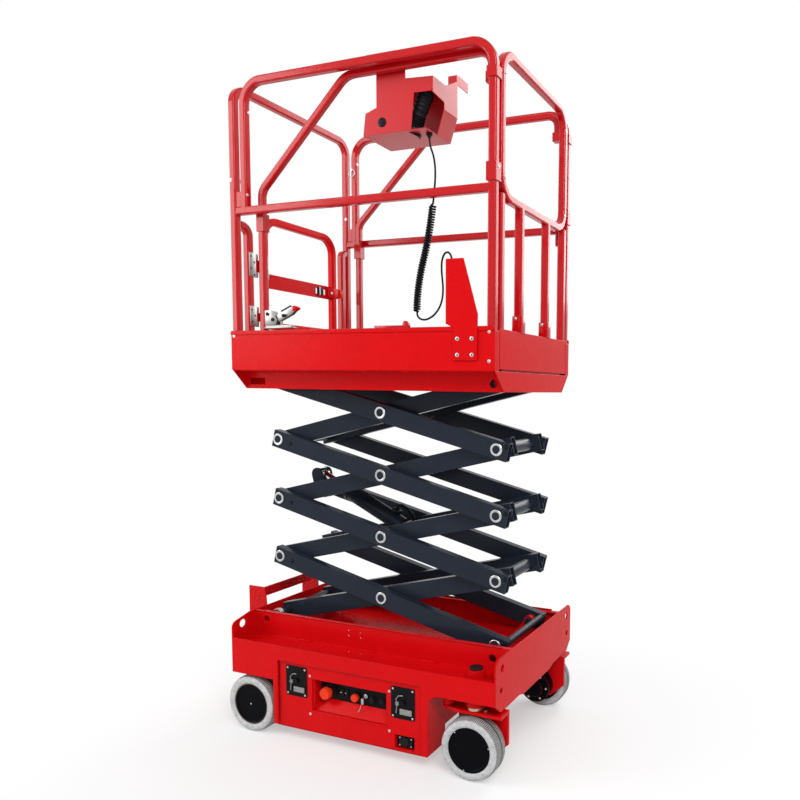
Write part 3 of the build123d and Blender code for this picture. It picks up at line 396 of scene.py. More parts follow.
ENAMEL = Finish("red_enamel", (0.60, 0.003, 0.005), (0.51, 0.0025, 0.004), Slot.RED, rough=0.24, grain=260,
                relief=0.00003, gloss=0.06, edge=0.003)
# The rails' enamel is a darker copy of the same red enamel, painted shade, with more gloss.
SHADED_RAIL_ENAMEL = replace(ENAMEL, name="red_rail_enamel_painted_shade", colour=(0.47, 0.003, 0.006), second=(0.38, 0.0025, 0.005),
                      rough=0.16, coat=0.1, gloss=0.24)
BOX_ENAMEL = replace(ENAMEL, name="red_box_enamel", colour=(0.50, 0.004, 0.009), second=(0.40, 0.0035, 0.007),
                     rough=0.3, coat=0.1, gloss=0.4, edge=0.002)
FLOOR_PLATE = ChequerFinish("red_floor_plate", (0.56, 0.003, 0.005), (0.45, 0.0025, 0.004), Slot.RED, rough=0.36,
                            gloss=0.1)
SLATE = replace(ENAMEL, name="slate_enamel", colour=(0.014, 0.019, 0.030), second=(0.022, 0.028, 0.042),
                slot=Slot.SLATE, gloss=0.1)
ZINC = Finish("bright_zinc", (0.60, 0.60, 0.60), (0.38, 0.38, 0.37), Slot.SILVER, rough=0.30, metal=1.0,
              grain=900, relief=0.00002, wear=Wear.USED, edge=0.0006)
DULL_ZINC = replace(ZINC, name="dull_zinc", colour=(0.33, 0.32, 0.305), second=(0.20, 0.195, 0.19), rough=0.34,
                    edge=0.0012)
BRASS = replace(ZINC, name="pale_brass", colour=(0.56, 0.50, 0.36), second=(0.40, 0.34, 0.22), rough=0.32)
CHROME_ROD = Finish("chrome_rod", (0.78, 0.78, 0.79), (0.70, 0.70, 0.72), Slot.SILVER, rough=0.12, metal=1.0,
                    grain=900, relief=0.00001, edge=0.0006)
HUB = Finish("hub_enamel", (0.0015, 0.0017, 0.003), (0.004, 0.0042, 0.006), Slot.HUB, rough=0.4, grain=500, gloss=0.04)
HUB_RING = Finish("hub_ring", (0.10, 0.065, 0.045), (0.16, 0.11, 0.08), Slot.HUB, rough=0.5, grain=900, gloss=0.2)
PLASTIC = Finish("moulded_black", (0.004, 0.0042, 0.006), (0.009, 0.009, 0.012), Slot.PLASTIC, rough=0.45,
                 grain=1400, relief=0.00005, edge=0.0006, gloss=0.14)
PANEL_BLACK = replace(PLASTIC, name="panel_black", colour=(0.004, 0.004, 0.005), second=(0.008, 0.008, 0.009),
                      rough=0.42, grain=1600, relief=0.00003, gloss=0.08)
STOP = Finish("stop_button_red", (0.78, 0.040, 0.008), (0.66, 0.03, 0.008), Slot.STOP, rough=0.3, grain=900,
              relief=0.00002, edge=0.0012, gloss=0.15)
FRONT_TYRE = TreadFinish("grey_tyre_front", (0.58, 0.59, 0.60), (0.34, 0.34, 0.335), Slot.TYRE, rough=0.8, patch=75.0,
                         wear=Wear.USED, gloss=0.2, axle=(0.5275, 0.115))
REAR_TYRE = replace(FRONT_TYRE, name="grey_tyre_rear", axle=(-0.4625, 0.115))
CORD_SKIN = Finish("cord_rubber", (0.004, 0.004, 0.005), (0.007, 0.007, 0.008), Slot.CORD, rough=0.5, grain=1500,
                   relief=0.00003, edge=0.0, gloss=0.12)
BATTERY = Finish("battery_case", (0.012, 0.012, 0.012), (0.02, 0.02, 0.02), Slot.BATTERY, rough=0.6, gloss=0.15)

NODE_FINISHES = {
    ENAMEL: ("chassis_frame", "front_plate", "rear_plate", "cabinets", "service_panels", "platform_frame",
             "toe_boards", "cable_guard", "extension_panel", "knuckle_near", "knuckle_far", "tie_rod", "gate"),
    SHADED_RAIL_ENAMEL: ("side_rails_near", "side_rails_far", "rear_rails", "extension_rails", "front_rails"),
    BOX_ENAMEL: ("control_box",),
    FLOOR_PLATE: ("deck_plate", "extension_deck", "rear_step"),
    SLATE: ("outer_arms_1", "outer_arms_2", "outer_arms_3", "outer_arms_4", "inner_arms_1", "inner_arms_2",
            "inner_arms_3", "inner_arms_4", "lift_barrel"),
    CHROME_ROD: ("lift_rod",),
    ZINC: ("lower_rollers", "upper_rollers"),
    DULL_ZINC: ("gate_hinges", "toggle_latch"),
    HUB: ("rim_front_near", "rim_front_far", "rim_rear_near", "rim_rear_far"),
    FRONT_TYRE: ("tyre_front_near", "tyre_front_far"),
    REAR_TYRE: ("tyre_rear_near", "tyre_rear_far"),
    PANEL_BLACK: ("control_panel", "side_fittings"),
    PLASTIC: ("joystick", "cord_glands"),
    STOP: ("ground_controls",),
    CORD_SKIN: ("control_cord", "cord_coil"),
    BATTERY: ("battery_block",),
}


class Shape:
    """Collects solids in chassis millimetres and turns them into one finished piece."""

    def __init__(self) -> None:
        """Starts with no solids."""
        self.mesh = bmesh.new()

    def _soften(self, corners: list[bmesh.types.BMVert], width: float) -> None:
        """Bevels the edges at a solid's corners, if the width isn't 0."""
        if width:
            edges = list({edge for corner in corners for edge in corner.link_edges})
            bmesh.ops.bevel(self.mesh, geom=edges, offset=width, segments=2, affect="EDGES", profile=0.5)

    def _skin(self, rings: list[list[bmesh.types.BMVert]], capped: bool) -> None:
        """Makes the surface between rings of points and turns it outwards.

        Args:
            rings: rings of equally many points, or of a single one at a pole.
            capped: whether the first and the last ring get a face.
        """
        faces = [self.mesh.faces.new(ring) for ring in (rings[0], rings[-1])] if capped else []
        for first, second in zip(rings, rings[1:]):
            count = max(len(first), len(second))
            for step in range(count):
                after = (step + 1) % count
                corners = dict.fromkeys((first[step % len(first)], first[after % len(first)],
                                         second[after % len(second)], second[step % len(second)]))
                faces.append(self.mesh.faces.new(list(corners)))
        bmesh.ops.recalc_face_normals(self.mesh, faces=faces)

    def box(self, low: Triple, high: Triple, soften: float = 0.0, turn: Matrix | None = None) -> "Shape":
        """Adds a block.

        Args:
            low: lowest corner.
            high: highest corner.
            soften: bevel width of its edges.
            turn: rotation about the block's middle.

        Returns:
            This shape.
        """
        middle = (Vector(low) + Vector(high)) / 2
        size = Vector(high) - Vector(low)
        matrix = Matrix.Translation(middle)
        if turn is not None:
            matrix = matrix @ turn.to_4x4()
        matrix = matrix @ Matrix.Diagonal((*size, 1.0))
        made = bmesh.ops.create_cube(self.mesh, size=1.0, matrix=matrix)["verts"]
        self._soften(made, soften)
        return self

    def lathe(self, profile: list[Pair], centre: Triple, axis: Triple, segments: int = 32) -> "Shape":
        """Adds a turned solid.

        Args:
            profile: (radius, distance along the axis) pairs from one end of the axis to the other.
            centre: point where distance is 0.
            axis: direction of the axis.
            segments: faces around.

        Returns:
            This shape.
        """
        turn = Vector(axis).normalized().to_track_quat("Z", "Y").to_matrix()
        rings = []
        for radius, along in profile:
            if radius < 1e-6:
                rings.append([self.mesh.verts.new(Vector(centre) + turn @ Vector((0, 0, along)))])
                continue
            ring = []
            for step in range(segments):
                angle = math.tau * step / segments
                local = Vector((radius * math.cos(angle), radius * math.sin(angle), along))
                ring.append(self.mesh.verts.new(Vector(centre) + turn @ local))
            rings.append(ring)
        self._skin(rings, capped=False)
        return self

    def prism(self, outline: list[Pair], origin: Triple, across: Triple, up: Triple, depth: float,
              soften: float = 0.0) -> "Shape":
        """Adds a plate with the given outline.

        Args:
            outline: corners in the plate's two directions.
            origin: point of the plate at (0, 0).
            across: first direction.
            up: second direction.
            depth: thickness along across x up.
            soften: bevel width of its edges.

        Returns:
            This shape.
        """
        side, rise = Vector(across).normalized(), Vector(up).normalized()
        out = side.cross(rise) * depth
        lower = [self.mesh.verts.new(Vector(origin) + side * u + rise * v) for u, v in outline]
        upper = [self.mesh.verts.new(vert.co + out) for vert in lower]
        self._skin([lower, upper], capped=True)
        self._soften(lower + upper, soften)
        return self

    def upright(self, outline: list[Pair], y: float, depth: float, soften: float) -> "Shape":
        """Adds an upright plate with its outline in x and z, from y towards the near side."""
        return self.prism(outline, (0, y, 0), FORWARDS, UPWARDS, depth, soften)

    def tube(self, points: list[Triple], radius: float, sides: int = 12) -> "Shape":
        """Adds a round bar through points.

        Args:
            points: the bar's line.
            radius: its radius.
            sides: faces around.

        Returns:
            This shape.
        """
        line = [Vector(point) for point in points]
        normal = (line[1] - line[0]).orthogonal().normalized()
        rings = []
        for index, point in enumerate(line):
            before = line[max(index - 1, 0)]
            after = line[min(index + 1, len(line) - 1)]
            forward = (after - before).normalized()
            normal = (normal - forward * normal.dot(forward)).normalized()
            other = forward.cross(normal)
            ring = []
            for step in range(sides):
                angle = math.tau * step / sides
                spoke = normal * math.cos(angle) + other * math.sin(angle)
                ring.append(self.mesh.verts.new(point + spoke * radius))
            rings.append(ring)
        self._skin(rings, capped=True)
        return self

    def piece(self, name: str, finish: Finish, body: str, angle: float = SHARP_DEGREES) -> bpy.types.Object:
        """Makes the object, gives it its finish and lets it ride.

        Args:
            name: the object's name.
            finish: its surface.
            body: CAD body that carries it.
            angle: edges sharper than this many degrees stay sharp.

        Returns:
            The finished object.
        """
        shift = Matrix.Scale(1 / MILLI, 4) @ Matrix.Translation((FRAME_SHIFT, 0, 0))
        bmesh.ops.transform(self.mesh, matrix=shift, verts=self.mesh.verts)
        data = bpy.data.meshes.new(name)
        self.mesh.to_mesh(data)
        self.mesh.free()
        data.shade_smooth()
        data.set_sharp_from_angle(angle=math.radians(angle))
        made = bpy.data.objects.new(name, data)
        return dress(made, finish, body)


def dress(made: bpy.types.Object, finish: Finish, body: str) -> bpy.types.Object:
    """Links an object, gives it its finish and lets it ride on a body.

    Args:
        made: the object, with its place in its mesh.
        finish: its surface.
        body: CAD body that carries it.

    Returns:
        The same object.
    """
    bpy.context.scene.collection.objects.link(made)
    made.data.materials.clear()
    made.data.materials.append(finish.material())
    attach(made, body)
    LOG.info("%s rides on %s", made.name, body)
    return made


@dataclass
class FastenerField:
    """Screws, rivets or bolts of one size, placed by Geometry Nodes at listed points.

    Attributes:
        name: name of the resulting piece.
        finish: surface of the fasteners.
        body: CAD body that carries them.
        head: head radius.
        height: head height.
        sides: 6 for a hexagon, more for a round head.
        washer: washer radius, or 0 for none.
        spots: (place, direction the head faces) pairs.
    """

    name: str
    finish: Finish
    body: str
    head: float = 5.0
    height: float = 3.0
    sides: int = 20
    washer: float = 0.0
    spots: list[Spot] = field(default_factory=list)

    @staticmethod
    def _layer(wires: Wiring, radius: Socket, height: Socket, sides: Value, shares: tuple[float, ...]) -> Socket:
        """One turned layer of the fastener.

        Args:
            wires: the modifier's node tree.
            radius: radius of the head or the washer.
            height: height of the head.
            sides: faces around.
            shares: bottom and top radius, foot and rise, as shares of the radius and the height.

        Returns:
            The layer's geometry.
        """
        bottom, top, foot, rise = shares
        cone = wires.add("GeometryNodeMeshCone", {
            "Vertices": sides, "Radius Bottom": wires.math("MULTIPLY", radius, bottom),
            "Radius Top": wires.math("MULTIPLY", radius, top), "Depth": wires.math("MULTIPLY", height, rise)})
        offset = wires.add("ShaderNodeCombineXYZ", {"Z": wires.math("MULTIPLY", height, foot)})
        moved = wires.add("GeometryNodeTransform", {
            "Geometry": cone.outputs["Mesh"], "Translation": offset.outputs["Vector"]})
        return moved.outputs["Geometry"]

    def _tree(self) -> bpy.types.NodeTree:
        """Geometry Nodes tree that turns points into fasteners.

        Returns:
            The tree, with named inputs for the sizes.
        """
        tree = bpy.data.node_groups.new(self.name + "_nodes", "GeometryNodeTree")
        for label, way, kind in (("Geometry", "INPUT", "Geometry"), ("Head Radius", "INPUT", "Float"),
                                 ("Head Height", "INPUT", "Float"), ("Washer Radius", "INPUT", "Float"),
                                 ("Sides", "INPUT", "Int"), ("Geometry", "OUTPUT", "Geometry")):
            tree.interface.new_socket(label, in_out=way, socket_type="NodeSocket" + kind)
        wires = Wiring(tree)
        source = wires.add("NodeGroupInput").outputs
        head = (source["Head Radius"], source["Head Height"], source["Sides"])
        layers = [self._layer(wires, *head, (1.0, 0.97, 0.0, 0.7)), self._layer(wires, *head, (0.97, 0.7, 0.7, 0.3))]
        if self.washer:
            washer = (source["Washer Radius"], source["Head Height"], 24)
            layers.append(self._layer(wires, *washer, (1.0, 0.96, -0.05, 0.3)))
        joined = wires.add("GeometryNodeJoinGeometry")
        for layer in layers:
            wires.fill(joined, {"Geometry": layer})
        facing = wires.add("GeometryNodeInputNamedAttribute", {"Name": "facing"}, data_type="FLOAT_VECTOR")
        align = wires.add("FunctionNodeAlignRotationToVector", {"Vector": facing.outputs["Attribute"]}, axis="Z")
        spread = wires.add("GeometryNodeInstanceOnPoints", {
            "Points": source["Geometry"], "Instance": joined.outputs["Geometry"],
            "Rotation": align.outputs["Rotation"]})
        real = wires.add("GeometryNodeRealizeInstances", {"Geometry": spread.outputs["Instances"]})
        paint = wires.add("GeometryNodeSetMaterial", {
            "Geometry": real.outputs["Geometry"], "Material": self.finish.material()})
        wires.add("NodeGroupOutput", {"Geometry": paint.outputs["Geometry"]})
        return tree

    def build(self) -> bpy.types.Object:
        """Evaluates the tree into one plain mesh.

        Returns:
            The finished piece.
        """
        data = bpy.data.meshes.new(self.name + "_points")
        data.from_pydata([place(*at) for at, _ in self.spots], [], [])
        facing = data.attributes.new("facing", "FLOAT_VECTOR", "POINT")
        facing.data.foreach_set("vector", [value for _, way in self.spots for value in way])
        return baked(self.name, data, self._tree(), {
            "Head Radius": self.head / MILLI, "Head Height": self.height / MILLI,
            "Washer Radius": self.washer / MILLI, "Sides": self.sides}, self.finish, self.body)


def baked(name: str, data: bpy.types.Mesh, tree: bpy.types.NodeTree, sizes: dict[str, float | int], finish: Finish,
          body: str) -> bpy.types.Object:
    """Runs a Geometry Nodes tree on a mesh and keeps the result as a plain piece.

    Args:
        name: name of the resulting piece.
        data: mesh that the tree starts from.
        tree: the node tree.
        sizes: values by the names of the tree's inputs.
        finish: surface of the piece.
        body: CAD body that carries it.

    Returns:
        The finished piece.
    """
    seed = bpy.data.objects.new(name + "_seed", data)
    modifier = seed.modifiers.new("nodes", "NODES")
    modifier.node_group = tree
    for socket in tree.interface.items_tree:
        if socket.item_type == "SOCKET" and socket.in_out == "INPUT" and socket.name in sizes:
            modifier[socket.identifier] = sizes[socket.name]
    bpy.context.scene.collection.objects.link(seed)
    graph = bpy.context.evaluated_depsgraph_get()
    mesh = bpy.data.meshes.new_from_object(seed.evaluated_get(graph), depsgraph=graph)
    bpy.data.objects.remove(seed)
    mesh.name = name
    mesh.shade_smooth()
    mesh.set_sharp_from_angle(angle=math.radians(SHARP_DEGREES))
    return dress(bpy.data.objects.new(name, mesh), finish, body)


@dataclass
class ControlCord:
    """The upper controls' lead: a straight start, a curly stretch and a loose tail to the cable guard.

    Attributes:
        lead: route of the straight start.
        coil: route of the curly stretch's middle.
        tail: route of the loose tail.
        thickness: diameter of the cord.
        winding: radius of the curl, from its middle to the cord's.
        pitch: distance between two turns.
        turn_points: control points in one turn.
        entry: length over which the curl opens, and closes again.
        entry_points: control points on that length.
        keep: one in so many points of the smooth route is kept outside the curl.
    """

    lead: tuple[Triple, ...] = ((247, -240, 2296), (248, -240, 2268), (270, -252, 2236), (288, -268, 2188),
                                (297, -283, 2134), (299, -294, 2088))
    coil: tuple[Triple, ...] = ((298, -300, 2047), (289, -300, 1985), (272, -300, 1900), (250, -300, 1825),
                                (235, -300, 1745), (230, -300, 1667))
    tail: tuple[Triple, ...] = ((238, -300, 1648), (266, -300, 1640), (303, -300, 1656), (332, -300, 1693),
                                (341, -300, 1745), (334, -302, 1800), (336, -308, 1846), (357, -322, 1872),
                                (386, -338, 1869), (403, -347, 1840), (403, -347, 1806))
    thickness: float = 7.0
    winding: float = 10.3
    pitch: float = 8.8
    turn_points: int = 14
    entry: float = 17.0
    entry_points: int = 7
    keep: int = 4

    def _spline(self, name: str, points: list[Vector]) -> bpy.types.Object:
        """A smooth curve with the points as its control points.

        Args:
            name: the curve object's name.
            points: control points in the row frame.

        Returns:
            The curve object, not yet linked.
        """
        curve = bpy.data.curves.new(name, "CURVE")
        curve.dimensions = "3D"
        spline = curve.splines.new("NURBS")
        spline.points.add(len(points) - 1)
        for control, point in zip(spline.points, points):
            control.co = (*point, 1.0)
        spline.order_u = 3
        spline.use_endpoint_u = True
        spline.resolution_u = 8
        return bpy.data.objects.new(name, curve)

    def _read(self, points: list[Vector]) -> list[Vector]:
        """Points of the smooth line through the route.

        Args:
            points: the route's control points.

        Returns:
            Points along the NURBS line.
        """
        route = self._spline("cord_route", points)
        bpy.context.scene.collection.objects.link(route)
        graph = bpy.context.evaluated_depsgraph_get()
        mesh = bpy.data.meshes.new_from_object(route.evaluated_get(graph), depsgraph=graph)
        line = [vertex.co.copy() for vertex in mesh.vertices]
        bpy.data.objects.remove(route)
        bpy.data.meshes.remove(mesh)
        return line

    def _helix(self, line: list[Vector], start: int, stop: int) -> list[Vector]:
        """Turns around a stretch of the line, opening from it and closing onto it.

        Args:
            line: points of the smooth line.
            start: index where the curly stretch starts.
            stop: index where it ends.

        Returns:
            Points of the helix.
        """
        stretch = line[start:stop + 1]
        lengths = [0.0]
        for before, after in zip(stretch, stretch[1:]):
            lengths.append(lengths[-1] + (after - before).length)
        total, radius = lengths[-1], self.winding / MILLI
        pitch, entry = self.pitch / MILLI, self.entry / MILLI
        reach = (entry + pitch / 4) / 2
        turns = round((total - 2 * reach) / pitch)
        steps = turns * self.turn_points
        opening = []
        for step in range(self.entry_points):
            share = step / self.entry_points
            angle = math.pi / 2 * share ** 2
            opening.append((entry * share - (entry - reach) * share ** 2, angle, radius * math.sin(angle)))
        middle = [(reach + (total - 2 * reach) * step / steps, math.pi / 2 + math.tau * step / self.turn_points, radius)
                  for step in range(steps + 1)]
        last = math.pi + math.tau * turns
        closing = [(total - along, last - angle, spread) for along, angle, spread in reversed(opening)]
        side = (stretch[1] - stretch[0]).orthogonal().normalized()
        points = []
        index = 0
        for along, angle, spread in opening + middle + closing:
            while index < len(lengths) - 2 and lengths[index + 1] < along:
                index += 1
            share = (along - lengths[index]) / (lengths[index + 1] - lengths[index])
            centre = stretch[index].lerp(stretch[index + 1], share)
            forward = (stretch[index + 1] - stretch[index]).normalized()
            side = (side - forward * side.dot(forward)).normalized()
            other = forward.cross(side)
            points.append(centre + (side * math.cos(angle) + other * math.sin(angle)) * spread)
        return points

    def build(self) -> None:
        route = [place(*point) for point in (*self.lead, *self.coil, *self.tail)]
        line = self._read(route)

        def nearest(point: Triple) -> int:
            """Index of the line's point nearest to a route point."""
            target = place(*point)
            return min(range(len(line)), key=lambda index: (line[index] - target).length)

        start, stop = nearest(self.coil[0]), nearest(self.coil[-1])
        before, after = line[self.keep:start - 2:self.keep], line[stop + 3:-3:self.keep]
        points = line[:1] + before + self._helix(line, start, stop) + after + line[-1:]
        cord = self._spline("control_cord_curl", points)
        cord.data.splines[0].resolution_u = 2
        cord.data.bevel_depth = self.thickness / 2 / MILLI
        cord.data.bevel_resolution = 3
        cord.data.use_fill_caps = True
        dress(cord, CORD_SKIN, "platform")
        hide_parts("control_cord", "cord_coil")


@dataclass
class RunningGear:
    """Hub screws, kingpin caps and washers, and the black drive motors.

    Attributes:
        axle_z: height of the axles.
        front_x: place of the steered wheels along the machine.
        rear_x: place of the fixed wheels along the machine.
        kingpin_y: distance of the kingpins from the machine's middle.
        leg_y: inner face of the knuckles' legs.
        hub_y: outer face of the hubs.
        plate_z: top of the knuckles' plates.
        hub_circle: radius of the circle of hub screws.
        motor_circle: radius of the circle of motor bolts.
        motor_face: depth of the motor's bolted face.
    """

    axle_z: float = 115.0
    front_x: float = 488.0
    rear_x: float = -502.0
    kingpin_y: float = 320.0
    leg_y: float = 282.0
    hub_y: float = 374.0
    plate_z: float = 249.0
    hub_circle: float = 80.0
    motor_circle: float = 53.0
    motor_face: float = 49.2

    def _front_hub(self, side: int, body: str) -> None:
        """Three small screws near the edge of a steered wheel."""
        turns = [math.radians(turn) for turn in (15, 135, 255)]
        spots = [((x, side * self.hub_y, z), (0, side, 0))
                 for x, z in around(self.front_x, self.axle_z, self.hub_circle, turns)]
        FastenerField(f"{body}_screws", ZINC, body, head=2.6, height=1.6, sides=10, spots=spots).build()

    def _rear_hub(self, side: int, body: str) -> None:
        """Bright centre and thin edge ring of a fixed wheel.

        Args:
            side: near or far.
            body: the wheel's body.
        """
        centre = (self.rear_x, side * self.hub_y, self.axle_z)
        pip = [(3.4, -0.4), (3.4, 1.2), (2.2, 2.2), (0, 2.2)]
        Shape().lathe(pip, centre, (0, side, 0), 16).piece(f"{body}_centre", ZINC, body)
        edge = [(79.5, -0.4), (79.5, 0.8), (80.4, 1.3), (82.0, 1.3), (82.8, 0.8), (82.8, -0.4)]
        Shape().lathe(edge, centre, (0, side, 0), 64).piece(f"{body}_ring", HUB_RING, body)

    def _knuckle(self, side: int, name: str) -> None:
        """Cap, washer and motor of one steered wheel.

        Args:
            side: near or far.
            name: the side's name.
        """
        body = f"steer_{name}"
        pin = (self.front_x, side * self.kingpin_y, 0)
        cap = [(25, 396), (25, 402), (23, 404.4), (21, 404.4), (20, 403.4), (0, 403.4)]
        Shape().lathe(cap, pin, UPWARDS, 40).piece(f"kingpin_cap_{name}", PLASTIC, body)
        washer = [(20.4, 249.2), (31, 249.2), (31.6, 250), (31.6, 259.6), (30.6, 260.6), (20.4, 260.6)]
        Shape().lathe(washer, pin, UPWARDS, 40).piece(f"kingpin_washer_{name}", BRASS, body)
        stop = (self.front_x + 46, side * (self.kingpin_y + 12), self.plate_z)
        FastenerField(f"steer_stop_bolt_{name}", ZINC, body, head=7, height=6, sides=6,
                      spots=[(stop, UPWARDS)]).build()
        motor = Shape()
        face = self.motor_face
        shell = [(66.8, 0.3), (66.8, 47), (64, face), (41, face), (41, 61), (38, 63), (0, 63)]
        motor.lathe(shell, (self.front_x, side * self.leg_y, self.axle_z), (0, -side, 0), 48)
        motor.box((self.front_x - 16, side * 258 - 14, 178), (self.front_x + 16, side * 258 + 14, 196), 2)
        motor.piece(f"drive_motor_{name}", HUB, body)
        turns = [math.tau * step / 6 for step in range(6)]
        spots = [((x, side * (self.leg_y - face), z), (0, -side, 0))
                 for x, z in around(self.front_x, self.axle_z, self.motor_circle, turns)]
        FastenerField(f"motor_bolts_{name}", ZINC, body, head=5.5, height=4, sides=6, spots=spots).build()

    def build(self) -> None:
        """Makes the pieces of all four wheels."""
        for side, name in SIDES:
            self._front_hub(side, f"wheel_front_{name}")
            self._rear_hub(side, f"wheel_rear_{name}")
            self._knuckle(side, name)


@dataclass
class ScissorPins:
    """Bright rings around the scissor pins, and the bolts beside the end pins.

    Attributes:
        pin_x: distance of the end pins from the middle, along the machine.
        pin_z: height of the lowest pins.
        rise: height of one stage.
        stages: number of stages.
        arm_y: outer face of the outer arms.
        front_bolt: x and z from the front pin to the bolt beside it.
        rear_bolt: x and z from the rear pin to the bolt beside it.
    """

    pin_x: float = 501.5
    pin_z: float = 440.0
    rise: float = 246.0
    stages: int = 4
    arm_y: float = 195.0
    front_bolt: Pair = (39.7, 10.9)
    rear_bolt: Pair = (62.0, -15.2)

    def build(self) -> None:
        """Makes one set of rings and bolts for each outer arm pair."""
        profile = [(15.5, 2.6), (15.5, 3.3), (16.6, 3.7), (22.4, 3.7), (24.2, 2.4), (24.2, 0.2)]
        for stage in range(1, self.stages + 1):
            low = self.pin_z + (stage - 1) * self.rise
            rings = Shape()
            for side, _ in SIDES:
                for x, z in ((self.pin_x, low), (0, low + self.rise / 2), (-self.pin_x, low + self.rise)):
                    rings.lathe(profile, (x, side * self.arm_y, z), (0, side, 0), 32)
            rings.piece(f"pin_rings_{stage}", ZINC, f"outer_{stage}")
            places = ((self.pin_x + self.front_bolt[0], low + self.front_bolt[1]),
                      (-self.pin_x + self.rear_bolt[0], low + self.rise + self.rear_bolt[1]))
            spots = [((x, side * self.arm_y, z), (0, side, 0)) for side, _ in SIDES for x, z in places]
            FastenerField(f"arm_bolts_{stage}", PLASTIC, f"outer_{stage}", head=7, height=4, sides=6, washer=9,
                          spots=spots).build()


@dataclass
class LiftCylinder:
    """Gland ring, port block and hose of the slanted cylinder.

    Attributes:
        foot: the barrel's foot on its line.
        way: direction from the foot to the rod.
        gland_at: place of the gland along the barrel.
        port_at: place of the port along the barrel.
    """

    foot: Triple = (0.0, 0.0, 809.0)
    way: Triple = (-0.8994, 0.0, 0.4372)
    gland_at: float = 310.0
    port_at: float = 80.0

    def build(self) -> None:
        """Makes the cylinder's fittings."""
        way = Vector(self.way)
        up = Vector((self.way[2], 0.0, -self.way[0]))
        foot = Vector(self.foot)
        gland = [(34.3, 0), (36.6, 0.8), (36.6, 15), (35, 17), (22, 17), (20.6, 16)]
        Shape().lathe(gland, tuple(foot + way * self.gland_at), self.way, 40).piece("cylinder_gland", SLATE, "barrel")
        port = foot + way * self.port_at + up * 41
        turn = Matrix.Rotation(math.asin(self.way[2]), 3, "Y")
        half = Vector((17, 15, 9))
        block = Shape().box(tuple(port - half), tuple(port + half), 1.5, turn)
        block.lathe([(9, 0), (9, 10), (7, 11), (0, 11)], tuple(port + up * 8), tuple(up), 6)
        block.piece("cylinder_port", PLASTIC, "barrel")
        start = port + up * 18
        bend = [start, start + up * 10, start + up * 16 - way * 12, start + up * 13 - way * 34 + Vector((0, 10, 0)),
                start - up * 6 - way * 62 + Vector((0, 28, 0)), start - up * 40 - way * 78 + Vector((0, 40, 0)),
                start - up * 72 - way * 70 + Vector((0, 44, 0))]
        Shape().tube([tuple(point) for point in bend], 6, 14).piece("cylinder_hose", CORD_SKIN, "barrel", 80)


